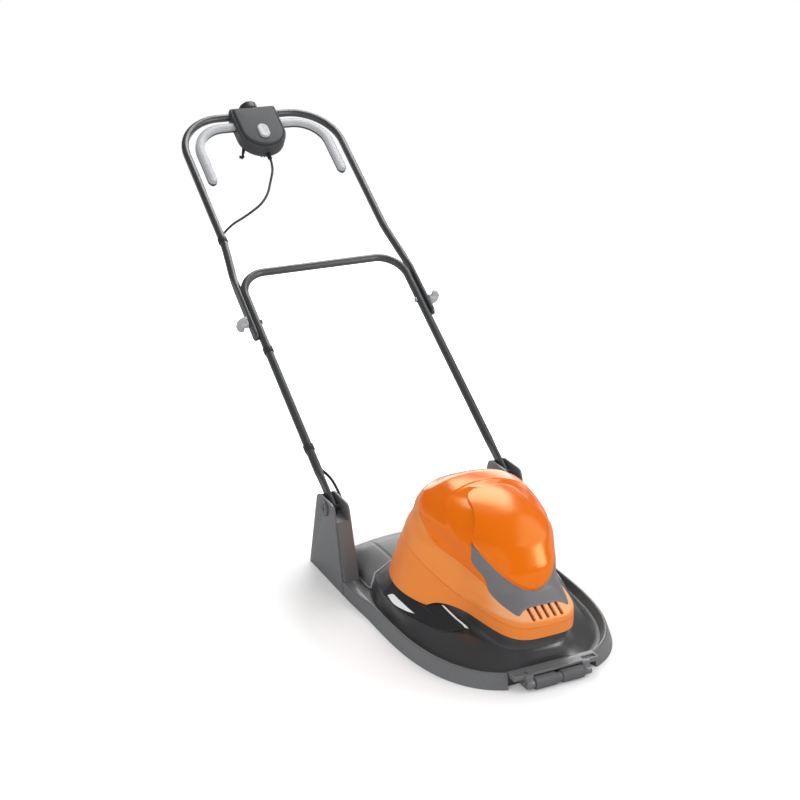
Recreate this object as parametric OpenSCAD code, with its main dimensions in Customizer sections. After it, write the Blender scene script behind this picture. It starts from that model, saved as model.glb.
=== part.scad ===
// Hover mower: domed deck, cowl with motor and fan, folding tube handle with switch box.
// Front is -Y, +X is to the right seen from the front, +Z is up, the ground is Z = 0.
// Shapes are drawn from the rotor axis and moved so the origin is the middle of the footprint.

/* [Deck] */
// Width of the deck at the ground
deck_w = 438; // [400:1:480]
// Reach of the deck in front of the rotor axis
front_l = 335; // [315:1:360]
// Reach of the deck behind the rotor axis
rear_l = 330; // [320:1:350]
// Height of the rim that runs round the deck
rim_h = 30; // [24:1:36]
// Height of the trough floor inside the rim
trough_z = 14; // [10:1:18]
// Thickness of the moulded walls
wall = 3; // [2:0.5:4]
// Height of the flat crest that carries the motor
crest_z = 82; // [78:1:88]
// Radius of the air intake in the crest
intake_r = 110; // [100:1:116]

/* [Cowl] */
// Radius of the round body of the cowl at its foot
cowl_r = 168; // [160:1:176]
// Height of the cowl above its foot
cowl_h = 212; // [204:1:224]
// Half width of the nose at its foot
nose_w = 92; // [84:1:98]
// Reach of the nose in front of the rotor axis
nose_l = 301; // [290:1:310]
// Wall of the cowl
cowl_wall = 2.5; // [2:0.5:3.5]

/* [Handle] */
// Diameter of the handle tubes
tube_d = 19; // [16:0.5:22]
// Distance between the two legs of the lower handle
track = 410; // [400:1:420]
// Slope of the handle at rest, from level
rake = 33.5; // [28:0.5:40]
// Height of the handle pivots
pivot_z = 163; // [150:1:180]
// Distance of the handle pivots behind the rotor axis
pivot_y = 235; // [220:1:245]
// Pivot to the crosspiece of the lower handle
lower_reach = 648; // [600:1:700]
// Pivot to the fold bolts
fold_reach = 505; // [480:1:520]
// Pivot to the top bar of the upper handle
upper_reach = 1155; // [1100:1:1250]
// Bend radius of the lower handle
lower_bend = 65; // [50:1:75]
// Bend radius of the upper handle
upper_bend = 115; // [100:1:125]

/* [Cutting gear] */
// Length of the blade
blade_l = 330; // [300:1:340]
// Width of the blade
blade_w = 46; // [36:1:56]
// Thickness of the blade
blade_t = 3; // [2:0.5:4]
// Radius of the fan
fan_r = 140; // [125:1:144]
// Diameter of the motor shaft
shaft_d = 12; // [10:0.5:14]
// Thickness of one height spacer
spacer_t = 5; // [4:0.5:6]

/* [Motor] */
// Radius of the motor can
can_r = 52; // [46:1:58]
// Height of the motor can
can_h = 90; // [80:1:100]

/* [Switch box] */
// Half width of the box
box_r = 61; // [57:1:66]
// Depth of the lower shell below the top bar
box_low = 17; // [15:1:20]
// Height of the upper shell above the top bar
box_high = 24; // [22:1:30]
// Travel of the lock button
button_travel = 4; // [3:0.5:6]

/* [Roller] */
// Radius of the transport roller
roller_r = 13; // [10:0.5:14]
// Length of one drum of the roller
drum_l = 46; // [36:1:50]

/* [Lead] */
// Diameter of the lead
lead_d = 6; // [5:0.5:8]

/* [Hidden] */
$fn = 48;

// Overrun of every cut, running clearance of a shaft, gap between pieces that don't touch
cut = 1;
running = 0.05;
gap = 0.4;
tiny = 0.01;
quarter_turn = 90;
half_turn = 180;
full_turn = 360;

// The middle of the footprint, from the front of the roller to the back of the mains inlet
roller_out = 5;
roller_y = front_l + roller_out;
box_front = 71;
box_back = 13;
inlet_r = 24;
inlet_l = 20;
inlet_drop = 4;
y_front = -roller_y - roller_r;
y_back = pivot_y + (upper_reach + box_back + inlet_l) * cos(rake) + (inlet_r + inlet_drop) * sin(rake);
y_mid = (y_front + y_back) / 2;

// The frame of the deck, drawn from the rotor axis
module on_deck() {
  translate([0, -y_mid, 0]) children();
}
// The frame of the handle: X across, Y along the legs from the pivots, Z out of their plane
module in_handle() {
  on_deck() translate([0, pivot_y, pivot_z]) rotate([rake, 0, 0]) children();
}

// Segments round the deck and cowl, and sharpness of the blends between body and nose
ring_segs = 60;
blend = 10;
mound_blend = 24;
function oval(a, w, f, b, kf, kb) =
  let (l = cos(a) > 0 ? f : b, k = cos(a) > 0 ? kf : kb)
  pow(pow(abs(sin(a)) / w, k) + pow(abs(cos(a)) / l, k), -1 / k);
function soft_max(p, q, n) = q * pow(pow(p / q, n) + 1, 1 / n);
function on_ring(a, r, z) = [r * sin(a), -r * cos(a), z];

// Faces between two rows of n points, the first row seen anticlockwise from the second
function band(i, k, n) = [
  for (j = [0 : n - 1]) let (m = (j + 1) % n) each [
    [i * n + j, k * n + m, i * n + m],
    [i * n + j, k * n + j, k * n + m]
  ]
];
// A closed ring-shaped skin: rows of points that go up the outside and back down the inside
module ring_skin(rows) {
  n = len(rows[0]);
  polyhedron(
    points = [for (row = rows) each row],
    faces = [for (i = [0 : len(rows) - 1]) each band(i, (i + 1) % len(rows), n)],
    convexity = 6
  );
}
// A solid swept through rows of points, closed by a flat face at both ends
module sweep(rows) {
  n = len(rows[0]);
  last = len(rows) - 1;
  polyhedron(
    points = [for (row = rows) each row],
    faces = concat(
      [for (i = [0 : last - 1]) each band(i, i + 1, n)],
      [[for (j = [0 : n - 1]) j], [for (j = [n - 1 : -1 : 0]) last * n + j]]
    ),
    convexity = 6
  );
}
// A domed skin: outer rows from the foot to the top, and inner rows the same way
module dome_skin(outer, inner) {
  n = len(outer[0]);
  m = len(outer);
  polyhedron(
    points = [for (row = concat(outer, inner)) each row],
    faces = concat(
      [for (i = [0 : m - 2]) each band(i, i + 1, n)],
      [for (i = [0 : m - 2]) each band(m + i + 1, m + i, n)],
      band(m, 0, n),
      [[for (j = [n - 1 : -1 : 0]) (m - 1) * n + j], [for (j = [0 : n - 1]) (2 * m - 1) * n + j]]
    ),
    convexity = 6
  );
}
// A slab with its outline in the Y-Z plane, from x0 to x1
module slab_x(x0, x1) {
  translate([x0, 0, 0]) rotate([90, 0, 90]) linear_extrude(x1 - x0) children();
}
// A round bar along X from x0 to x1, through the point y, z
module bar_x(x0, x1, y, z, r) {
  translate([x0, y, z]) rotate([0, 90, 0]) cylinder(r = r, h = x1 - x0);
}
// A round rod between two points of one X-Y plane
module rod(p, q, r) {
  d = q - p;
  translate(p) rotate([0, 0, atan2(d.y, d.x)]) rotate([0, 90, 0]) cylinder(r = r, h = norm(d));
}
module both_sides() {
  children();
  mirror([1, 0, 0]) children();
}

// Cowl: body, its back and the nose at each height, as shares of the cowl's height, radius and nose
cowl_drop = 2;
cowl_z = crest_z - cowl_drop;
body_shares = [
  [0, 1], [0.24, 0.905], [0.4, 0.835], [0.48, 0.81], [0.6, 0.72], [0.726, 0.655],
  [0.85, 0.56], [0.925, 0.43], [0.972, 0.28], [1, 0.03]
];
back_shares = [
  [0, 1], [0.24, 0.905], [0.4, 0.835], [0.48, 0.8], [0.6, 0.7], [0.726, 0.6],
  [0.85, 0.45], [0.925, 0.26], [0.972, 0.13], [1, 0.02]
];
nose_w_shares = [
  [0, 1], [0.16, 1], [0.24, 0.96], [0.344, 1], [0.505, 1.09], [0.707, 1.2], [0.8, 1.13],
  [0.873, 1], [0.925, 0.8], [0.972, 0.5], [1, 0.04]
];
nose_l_shares = [
  [0, 1], [0.16, 1.005], [0.19, 0.98], [0.24, 0.907], [0.344, 0.814], [0.505, 0.784], [0.6, 0.744],
  [0.707, 0.69], [0.8, 0.6], [0.873, 0.5], [0.925, 0.39], [0.972, 0.25], [1, 0.015]
];
nose_power_shares = [[0, 4], [0.16, 4], [0.344, 3], [0.707, 2.4], [1, 2]];
round_power = 2;
function cowl_reach(a, t) =
  let (r = cowl_r * lookup(t, body_shares), b = cowl_r * lookup(t, back_shares),
    w = nose_w * lookup(t, nose_w_shares), l = nose_l * lookup(t, nose_l_shares))
  soft_max(oval(a, r, r, b, round_power, round_power),
    oval(a, w, l, w * b / r, lookup(t, nose_power_shares), round_power), blend);

// Rim of the deck: draft of its outer wall, width of its flat top and slope of its inner face
deck_front_power = 2.8;
deck_rear_power = 10;
rim_draft = 10;
rim_top_w = 5;
rim_slope = 8;
rim_foot_w = 5;
rim_in = rim_draft + rim_top_w;
trough_in = rim_in + rim_slope;
// Half angle of the low stretch at the back of the rim, and how far it stands above the trough
rear_gap_angle = 31;
rear_lip = 2;
// Notch in the front of the rim that takes the roller carrier
notch_half = 92;
notch_l = 26;
notch_step = 4;
notch_trough = 6.5;
notch_y = front_l - notch_l;
notch_angle = atan2(notch_half, notch_y);
notch_edge = 0.05;
// Angles round the deck and cowl: even steps, with a pair at each side of the notch
ring_step = full_turn / ring_segs;
notch_from = floor(notch_angle / ring_step);
ring_angles = concat(
  [for (i = [0 : notch_from]) i * ring_step],
  [notch_angle - notch_edge, notch_angle + notch_edge],
  [for (i = [notch_from + 1 : ring_segs - notch_from - 1]) i * ring_step],
  [full_turn - notch_angle - notch_edge, full_turn - notch_angle + notch_edge],
  [for (i = [ring_segs - notch_from : ring_segs - 1]) i * ring_step]
);
// Mound under the cowl: its shoulder, foot and waist, and the dip of an air intake in each flank
mound_w = 182;
mound_l = 270;
mound_front_power = 1.75;
mound_rear_power = 3;
mound_nose_power = 3.5;
mound_nose_out = 4;
mound_nose_in = 15;
foot_out = 6;
// In front, the foot spreads over this share of the way to the rim, and that dies out round the sides
foot_spread_share = 0.85;
foot_room = 4;
spread_from = 96;
spread_to = 116;
crest_in = 12;
crest_slope = 6;
shoulder_z = 45;
waist_z = 66;
waist_share = 0.35;
intake_from = 28;
intake_to = 104;
intake_dip = 14;
skin_drop = 1;

function rim_point(a, in, z, step) =
  let (
    r = oval(a, deck_w / 2 - in, front_l - in, rear_l - in, deck_front_power, deck_rear_power),
    cut_r = (notch_y - step) / max(cos(a), tiny),
    in_notch = min(a, full_turn - a) < notch_angle
  )
  on_ring(a, in_notch ? min(r, cut_r) : r, z);
function rim_top(a) = abs(half_turn - a) < rear_gap_angle ? trough_z + rear_lip : rim_h;
function rim_row(in, z, step) = [for (a = ring_angles) rim_point(a, in, z, step)];
function rim_top_row(in, step) = [for (a = ring_angles) rim_point(a, in, rim_top(a), step)];
function shoulder_at(a) = soft_max(
  oval(a, mound_w, mound_l, mound_w, mound_front_power, mound_rear_power),
  oval(a, nose_w + mound_nose_out, nose_l - mound_nose_in, nose_w, mound_nose_power, round_power),
  mound_blend);
function crest_at(a) = min(cowl_reach(a, 0) - crest_in, shoulder_at(a) - crest_slope);
function in_intake(a) =
  let (b = min(a, full_turn - a))
  b > intake_from && b < intake_to ? sin(half_turn * (b - intake_from) / (intake_to - intake_from)) : 0;
function waist_at(a) =
  crest_at(a) + (shoulder_at(a) - crest_at(a)) * waist_share - intake_dip * in_intake(a);
function foot_at(a) =
  let (
    near = shoulder_at(a) + foot_out, rim_foot = rim_point(a, trough_in, 0, notch_trough),
    room = max(0, norm([rim_foot.x, rim_foot.y]) - foot_room - near),
    t = max(0, min(1, (spread_to - min(a, full_turn - a)) / (spread_to - spread_from)))
  )
  near + foot_spread_share * room * t * t * (3 - 2 * t);
function foot_row(in, z) = [for (a = ring_angles) on_ring(a, foot_at(a) - in, z)];
function shoulder_row(in, z) = [for (a = ring_angles) on_ring(a, shoulder_at(a) - in, z)];
function waist_row(in, z) = [for (a = ring_angles) on_ring(a, waist_at(a) - in, z)];
function crest_row(in, z) = [for (a = ring_angles) on_ring(a, crest_at(a) - in, z)];
function round_row(r, z) = [for (a = ring_angles) on_ring(a, r, z)];
module hood() {
  color("#3a3b3d") on_deck() ring_skin([
    rim_row(0, 0, 0),
    rim_top_row(rim_draft, 0),
    rim_top_row(rim_in, notch_step),
    rim_row(trough_in, trough_z, notch_trough),
    foot_row(0, trough_z),
    shoulder_row(0, shoulder_z),
    waist_row(0, waist_z),
    crest_row(0, crest_z),
    round_row(intake_r, crest_z),
    round_row(intake_r, crest_z - wall),
    crest_row(wall, crest_z - wall),
    waist_row(wall, waist_z - skin_drop),
    shoulder_row(wall, shoulder_z - skin_drop),
    foot_row(wall, trough_z - wall),
    rim_row(trough_in, trough_z - wall, notch_trough),
    rim_row(rim_foot_w, 0, notch_step)
  ]);
}

// Guard plate that lines each air intake, with ribs across it
guard_from = 36;
guard_to = 96;
guard_segs = 30;
guard_t = 2;
guard_gap = 1.4;
guard_rib = 2.5;
guard_low_share = 0.25;
guard_high_share = 0.5;
function guard_ring(a, t) =
  let (
    low = [shoulder_at(a), shoulder_z], mid = [waist_at(a), waist_z], top = [crest_at(a), crest_z],
    p = low + (mid - low) * guard_low_share, q = mid + (top - mid) * guard_high_share
  )
  [
    on_ring(a, p[0] + guard_gap, p[1]), on_ring(a, p[0] + guard_gap + t, p[1]),
    on_ring(a, mid[0] + guard_gap + t, mid[1]), on_ring(a, q[0] + guard_gap + t, q[1]),
    on_ring(a, q[0] + guard_gap, q[1]), on_ring(a, mid[0] + guard_gap, mid[1])
  ];
module intake_guard() {
  color("#2c2d2f") on_deck() sweep([
    for (i = [0 : guard_segs])
      guard_ring(guard_from + (guard_to - guard_from) * i / guard_segs, guard_t + guard_rib * (i % 2))
  ]);
}
module intake_guard_right() intake_guard();
module intake_guard_left() mirror([1, 0, 0]) intake_guard();

// Rear cover: half width, height, where it starts, and how square its section is
cover_side = 15;
cover_rim = 24;
cover_rear = 8;
cover_h = 58;
cover_front = 120;
cover_power = 2.6;
cover_steps = 24;
// Places along the cover as shares of its length, with its height and width there
cover_shares = [
  [0, 0.97, 1], [0.3, 1, 1], [0.55, 0.95, 1], [0.75, 0.8, 0.99], [0.9, 0.52, 0.98], [1, 0.2, 0.97]
];
function vault(y, w, h, z0) = concat(
  [for (i = [0 : cover_steps]) let (t = 1 - 2 * i / cover_steps)
    [w * t, y, z0 + h * pow(1 - pow(abs(t), cover_power), 1 / cover_power)]],
  [for (i = [cover_steps : -1 : 0]) let (t = 1 - 2 * i / cover_steps)
    [(w - wall) * t, y, z0 + (h - wall) * pow(1 - pow(abs(t), cover_power), 1 / cover_power)]]
);
cover_end = rear_l - trough_in - cover_rear;
module rear_cover() {
  cover_w = min(inner_x - plate_t - cover_side, deck_w / 2 - trough_in - cover_rim);
  color("#46474a") on_deck() difference() {
    sweep([
      for (c = cover_shares)
        vault(cover_front + (cover_end - cover_front) * c[0], cover_w * c[2], cover_h * c[1], trough_z)
    ]);
    for (c = [
      [foot_row(-gap, 0), shoulder_z], [shoulder_row(-gap, 0), waist_z], [waist_row(-gap, 0), crest_z]
    ])
      translate([0, 0, -cut]) linear_extrude(c[1] + cut) polygon([for (p = c[0]) [p.x, p.y]]);
    cylinder(r = cowl_r + gap, h = crest_z + cover_h);
  }
}

// Handle brackets: plates each side of a leg, joined by a web that the leg rests on
plate_t = 4;
leg_room = 4.5;
leg_x = track / 2;
tube_r = tube_d / 2;
plate_x = leg_x + tube_r + leg_room;
inner_x = leg_x - tube_r - leg_room;
bracket_foot_half = 90;
bracket_top_r = 20;
bracket_top_half = 27;
bracket_lean = 18;
leg_flat_w = 24;
leg_flat_t = 10;
leg_flat_l = 60;
pivot_r = 4;
web_room = 0.2;
module plate_outline(foot_z) {
  top_x = bracket_top_half + bracket_top_r * cos(bracket_lean);
  top_z = pivot_z + bracket_top_r * sin(bracket_lean);
  translate([pivot_y, 0]) {
    polygon([
      [-bracket_foot_half, foot_z], [bracket_foot_half, foot_z], [top_x, top_z], [-top_x, top_z]
    ]);
    for (s = [-1, 1]) translate([s * bracket_top_half, pivot_z]) circle(r = bracket_top_r);
    translate([-bracket_top_half, pivot_z]) square([2 * bracket_top_half, bracket_top_r]);
  }
}
module web_outline() {
  d = leg_flat_w / 2 + web_room;
  intersection() {
    plate_outline(rim_h);
    translate([pivot_y, 0]) polygon([
      [-bracket_foot_half, rim_h], [bracket_foot_half, rim_h],
      [bracket_foot_half, pivot_z + bracket_foot_half * tan(rake) - d / cos(rake)],
      [d * (1 - cos(rake)) / sin(rake), pivot_z - d], [-bracket_foot_half, pivot_z - d]
    ]);
  }
}
module bracket() {
  color("#4a4b4d") on_deck() difference() {
    union() {
      slab_x(plate_x, plate_x + plate_t) plate_outline(0);
      slab_x(inner_x - plate_t, inner_x) plate_outline(rim_h);
      slab_x(inner_x, plate_x) web_outline();
    }
    bar_x(inner_x - plate_t - cut, plate_x + plate_t + cut, pivot_y, pivot_z, pivot_r + running);
  }
}
module bracket_right() bracket();
module bracket_left() mirror([1, 0, 0]) bracket();

// Pivot screws: a broad flat head with a cross recess, outside each bracket
pivot_head_r = 17;
pivot_head_h = 4;
cross_l = 20;
cross_w = 4;
cross_depth = 1.5;
module pivot_screws() {
  x = plate_x + plate_t;
  color("#55565a") on_deck() both_sides() difference() {
    union() {
      bar_x(inner_x - plate_t, x, pivot_y, pivot_z, pivot_r);
      bar_x(x, x + pivot_head_h, pivot_y, pivot_z, pivot_head_r);
    }
    translate([x + pivot_head_h - cross_depth, pivot_y, pivot_z]) for (t = [0, quarter_turn])
      rotate([t, 0, 0]) translate([0, -cross_l / 2, -cross_w / 2])
        cube([cross_depth + cut, cross_l, cross_w]);
  }
}

// Roller carrier: the flat step at the front, with the cheeks that hold the roller axle
step_t = 9;
step_over = 1.5;
cheek_t = 16;
cheek_gap = 1;
drum_gap = 12;
axle_r = 3;
roller_drop = 0.5;
roller_z = roller_r + roller_drop;
cheek_x = drum_l + drum_gap / 2 + cheek_gap;
cheek_r = 9;
pocket_l = 28;
pocket_w = 10;
pocket_in = 4;
pocket_depth = 4;
carrier_half = notch_half - gap;
carrier_y = notch_y + gap;
core_share = 0.75;
module roller_carrier() {
  step_z = rim_h - step_t + step_over;
  color("#454649") on_deck() difference() {
    union() {
      translate([-carrier_half, -front_l, step_z]) cube([2 * carrier_half, front_l - carrier_y, step_t]);
      both_sides() slab_x(cheek_x, cheek_x + cheek_t) {
        translate([-roller_y, roller_z]) circle(r = cheek_r);
        translate([-roller_y, roller_z - cheek_r])
          square([roller_y - carrier_y, step_z + step_t - roller_z + cheek_r]);
      }
    }
    both_sides()
      translate([carrier_half - pocket_l - pocket_in, -front_l + pocket_in, step_z + step_t - pocket_depth])
      cube([pocket_l, pocket_w, pocket_depth + cut]);
    bar_x(-carrier_half - cut, carrier_half + cut, -roller_y, roller_z, axle_r + running);
    bar_x(-cheek_x, cheek_x, -roller_y, roller_z, roller_r + cheek_gap);
  }
}
module roller_axle() {
  x = cheek_x + cheek_t;
  color("silver") on_deck() bar_x(-x, x, -roller_y, roller_z, axle_r);
}
module transport_roller() {
  x = cheek_x - cheek_gap;
  color("#505154") on_deck() difference() {
    union() {
      bar_x(-x, x, -roller_y, roller_z, roller_r * core_share);
      both_sides() bar_x(drum_gap / 2, x, -roller_y, roller_z, roller_r);
    }
    bar_x(-x - cut, x + cut, -roller_y, roller_z, axle_r + running);
  }
}

// The joint between the cowl's skirt and cap drops towards the nose: its share of the height over the angle
joint_shares = [
  [0, 0.12], [30, 0.12], [40, 0.15], [48, 0.2], [62, 0.28], [80, 0.35], [96, 0.385], [180, 0.39]
];
joint_gap = 0.6;
function joint_t(a) = lookup(min(a, full_turn - a), joint_shares);
function joint_row(in, up) = [
  for (a = ring_angles) let (t = joint_t(a) + up / cowl_h)
    on_ring(a, cowl_reach(a, t) - in, cowl_z + cowl_h * t)
];
// Rows of the skirt, as shares of the way from its foot to the joint
skirt_shares = [0, 0.35, 0.7];
function skirt_row(s, in) = [
  for (a = ring_angles) on_ring(a, cowl_reach(a, joint_t(a) * s) - in, cowl_z + cowl_h * joint_t(a) * s)
];
flange_w = 24;
flange_t = 3;
function flange_row(in, z) = [for (a = ring_angles) on_ring(a, cowl_reach(a, 0) - in, z)];
module cowl_skirt() {
  color("#f07a1e") on_deck() ring_skin(concat(
    [for (s = skirt_shares) skirt_row(s, 0)],
    [joint_row(0, 0), joint_row(cowl_wall, 0)],
    [for (i = [len(skirt_shares) - 1 : -1 : 1]) skirt_row(skirt_shares[i], cowl_wall)],
    [
      flange_row(cowl_wall, crest_z + flange_t), flange_row(flange_w, crest_z + flange_t),
      flange_row(flange_w, crest_z), flange_row(cowl_wall, crest_z), flange_row(cowl_wall, cowl_z)
    ]
  ));
}
// Rows of the cap, as shares of the way from the joint to the top
cap_shares = [
  0.03, 0.06, 0.1, 0.14, 0.18, 0.22, 0.27, 0.32, 0.38, 0.44, 0.56, 0.68, 0.78, 0.86, 0.92, 0.965, 1
];
cap_tip_r = 1;
function cap_row(s, in) = [
  for (a = ring_angles) let (t = joint_t(a) + (1 - joint_t(a)) * s)
    on_ring(a, max(cowl_reach(a, t) - in, cap_tip_r), cowl_z + (cowl_h - in) * t)
];
module cowl_cap() {
  color("#ee6a0c") on_deck() dome_skin(
    concat([joint_row(0, joint_gap)], [for (s = cap_shares) cap_row(s, 0)]),
    concat([joint_row(cowl_wall, joint_gap)], [for (s = cap_shares) cap_row(s, cowl_wall)])
  );
}
// Dark trim under the visor: its edges as shares of the cowl's height over half its angle
trim_angle = 30;
trim_steps = 20;
trim_rows = 6;
trim_t = 2;
trim_gap = 1.9;
trim_low_shares = [
  [0, 0.245], [0.2, 0.24], [0.3, 0.222], [0.35, 0.205], [0.55, 0.25], [0.7, 0.31], [0.75, 0.39],
  [0.95, 0.49], [1, 0.55]
];
trim_high_shares = [[0, 0.34], [0.1, 0.35], [0.3, 0.415], [0.5, 0.5], [0.75, 0.605], [1, 0.69]];
function trim_ring(u) =
  let (a = trim_angle * u, lo = lookup(abs(u), trim_low_shares), hi = lookup(abs(u), trim_high_shares))
  concat(
    [for (k = [0 : trim_rows]) let (t = lo + (hi - lo) * k / trim_rows)
      on_ring(a, cowl_reach(a, t) + trim_gap + trim_t, cowl_z + cowl_h * t)],
    [for (k = [trim_rows : -1 : 0]) let (t = lo + (hi - lo) * k / trim_rows)
      on_ring(a, cowl_reach(a, t) + trim_gap, cowl_z + cowl_h * t)]
  );
module cowl_trim() {
  color("#58595c") on_deck() sweep([for (i = [-trim_steps : trim_steps]) trim_ring(-i / trim_steps)]);
}

// Screws that hold the cowl's flange and the motor plate down on the crest
screw_r = 2;
screw_head_r = 4;
screw_head_h = 2.5;
screw_bite = 2;
cowl_screw_angles = [60, 120, 240, 300];
cowl_screw_in = 18;
module down_screw(z) {
  translate([0, 0, crest_z - screw_bite]) cylinder(r = screw_r, h = z - crest_z + screw_bite);
  translate([0, 0, z]) cylinder(r = screw_head_r, h = screw_head_h);
}
module cowl_screws() {
  color("silver") on_deck() for (a = cowl_screw_angles)
    translate(on_ring(a, cowl_reach(a, 0) - cowl_screw_in, 0)) down_screw(crest_z + flange_t);
}

// Motor plate: a ring on the crest, spokes over the intake and a hub with the bearing seat
ring_in = 2;
ring_w = 18;
ring_t = 4;
spoke_w = 16;
spokes = 4;
hub_h = 14;
hub_over = 4;
bearing_r = 16;
bearing_t = 10;
shaft_r = shaft_d / 2;
seat_t = 2;
bore_room = 3;
hub_z = crest_z + hub_h;
motor_screw_r = intake_r + ring_in + ring_w / 2;
module motor_plate() {
  ring_r = intake_r + ring_in;
  color("#8a8c8f") on_deck() translate([0, 0, crest_z]) difference() {
    union() {
      difference() {
        cylinder(r = ring_r + ring_w, h = ring_t);
        translate([0, 0, -cut]) cylinder(r = ring_r, h = ring_t + 2 * cut);
      }
      cylinder(r = can_r + hub_over, h = hub_h);
      for (i = [0 : spokes - 1]) rotate([0, 0, i * full_turn / spokes])
        translate([can_r, -spoke_w / 2, 0]) cube([ring_r + ring_w / 2 - can_r, spoke_w, ring_t]);
    }
    translate([0, 0, -cut]) cylinder(r = shaft_r + bore_room, h = hub_h + 2 * cut);
    translate([0, 0, seat_t]) cylinder(r = bearing_r + running, h = hub_h);
    for (i = [0 : spokes - 1]) rotate([0, 0, (i + 1 / 2) * full_turn / spokes])
      translate([motor_screw_r, 0, -cut]) cylinder(r = screw_r + running, h = ring_t + 2 * cut);
  }
}
module motor_screws() {
  color("silver") on_deck() for (i = [0 : spokes - 1]) rotate([0, 0, (i + 1 / 2) * full_turn / spokes])
    translate([motor_screw_r, 0, 0]) down_screw(crest_z + ring_t);
}
module tube_z(z, h, r_out, r_in) {
  translate([0, 0, z]) difference() {
    cylinder(r = r_out, h = h);
    translate([0, 0, -cut]) cylinder(r = r_in, h = h + 2 * cut);
  }
}
module lower_bearing() {
  color("silver") on_deck() tube_z(crest_z + seat_t, bearing_t, bearing_r, shaft_r + running);
}

// Motor: can, laminated core, coils, and the end bracket with the second bearing
can_wall = 4;
core_low = 16;
core_h = 48;
core_r = 27;
coil_h = 8;
coil_in = 30;
coil_room = 2;
can_in = can_r - can_wall;
core_z = hub_z + core_low;
can_top = hub_z + can_h;
module motor_can() {
  color("#707276") on_deck() tube_z(hub_z, can_h, can_r, can_in);
}
module stator_core() {
  color("#85878a") on_deck() tube_z(core_z, core_h, can_in - running, core_r);
}
module field_coils() {
  color("#b5652b") on_deck() for (z = [core_z - coil_h, core_z + core_h])
    tube_z(z, coil_h, can_in - coil_room, coil_in);
}
lid_t = 5;
lid_hub_r = 18;
lid_hub_h = 16;
top_bearing_r = 13;
top_bearing_t = 8;
module end_bracket() {
  color("#8a8c8f") on_deck() difference() {
    union() {
      translate([0, 0, can_top]) cylinder(r = can_r, h = lid_t);
      translate([0, 0, can_top]) cylinder(r = lid_hub_r, h = lid_hub_h);
    }
    translate([0, 0, can_top - cut]) cylinder(r = shaft_r + bore_room, h = lid_hub_h + 2 * cut);
    translate([0, 0, can_top + lid_t]) cylinder(r = top_bearing_r + running, h = lid_hub_h);
  }
}
module upper_bearing() {
  color("silver") on_deck() tube_z(can_top + lid_t, top_bearing_t, top_bearing_r, shaft_r + running);
}

// Brushes ride on the commutator from both sides, in holders that hang from the end bracket
com_r = 12;
com_h = 14;
brush_w = 8;
brush_h = 8;
brush_l = 16;
holder_wall = 3;
holder_in = 4;
brush_z = can_top - holder_wall - brush_h;
module brush_holders() {
  color("#8c6b3a") on_deck() both_sides() translate([com_r + holder_in, 0, brush_z]) difference() {
    translate([0, -brush_w / 2 - holder_wall, -holder_wall])
      cube([brush_l, brush_w + 2 * holder_wall, brush_h + 2 * holder_wall]);
    translate([-cut, -brush_w / 2, 0]) cube([brush_l + 2 * cut, brush_w, brush_h]);
  }
}
module carbon_brushes() {
  color("#2b2b2b") on_deck() both_sides() translate([com_r + gap, -brush_w / 2, brush_z])
    cube([brush_l, brush_w, brush_h]);
}

// Capacitor and terminal block on the floor under the rear cover
floor_y = 245;
cap_x = 70;
cap_r = 14;
cap_l = 44;
block_l = 44;
block_w = 20;
block_h = 18;
module capacitor() {
  color("#c9cacc") on_deck() translate([cap_x, floor_y, trough_z]) {
    translate([-cap_l / 2, 0, cap_r]) rotate([0, 90, 0]) cylinder(r = cap_r, h = cap_l);
    translate([-cap_l / 2, -cap_r, 0]) cube([cap_l, 2 * cap_r, cap_r]);
  }
}
module terminal_block() {
  color("#d8d8d4") on_deck() translate([-cap_x - block_l / 2, floor_y - block_w / 2, trough_z])
    cube([block_l, block_w, block_h]);
}

// Rotor: shaft, armature, commutator, fan, spacers, blade, washer and nut
nut_h = 8;
nut_r = 10;
nut_sides = 6;
washer_t = 3;
washer_r = 20;
spacer_r = 22;
spacers = 2;
nut_z = 22;
washer_z = nut_z + nut_h;
blade_z = washer_z + washer_t;
spacer_z = blade_z + blade_t;
fan_z = spacer_z + spacers * spacer_t;
shaft_over = 2;
shaft_top = can_top + lid_t + top_bearing_t + shaft_over;
module motor_shaft() {
  color("silver") on_deck() translate([0, 0, nut_z + shaft_over])
    cylinder(r = shaft_r, h = shaft_top - nut_z - shaft_over);
}
arm_gap = 1;
wind_h = 7;
wind_in = 5;
com_low = 4;
module armature() {
  color("#9a5a2a") on_deck() {
    tube_z(core_z, core_h, core_r - arm_gap, shaft_r + running);
    for (z = [core_z - wind_h, core_z + core_h]) tube_z(z, wind_h, core_r - wind_in, shaft_r + running);
  }
}
module commutator() {
  color("#b87333") on_deck() tube_z(brush_z - com_low, com_h, com_r, shaft_r + running);
}
fan_t = 3;
fan_hub_r = 18;
fan_hub_h = 32;
vanes = 12;
vane_t = 3;
vane_h = 22;
vane_in = 44;
vane_lean = 24;
vane_end = 6;
module fan() {
  color("#eeeeea") on_deck() difference() {
    translate([0, 0, fan_z]) {
      cylinder(r = fan_r, h = fan_t);
      cylinder(r = fan_hub_r, h = fan_hub_h);
      for (i = [0 : vanes - 1]) rotate([0, 0, i * full_turn / vanes]) translate([vane_in, 0, 0])
        rotate([0, 0, vane_lean]) translate([0, -vane_t / 2, 0])
          cube([fan_r - vane_in - vane_end, vane_t, fan_t + vane_h]);
    }
    translate([0, 0, fan_z - cut]) cylinder(r = shaft_r + running, h = fan_hub_h + 2 * cut);
  }
}
module height_spacers() {
  color("#d06418") on_deck() for (i = [0 : spacers - 1])
    tube_z(spacer_z + i * spacer_t, spacer_t, spacer_r, shaft_r + running);
}
tip_cut = 26;
tip_share = 0.35;
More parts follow.
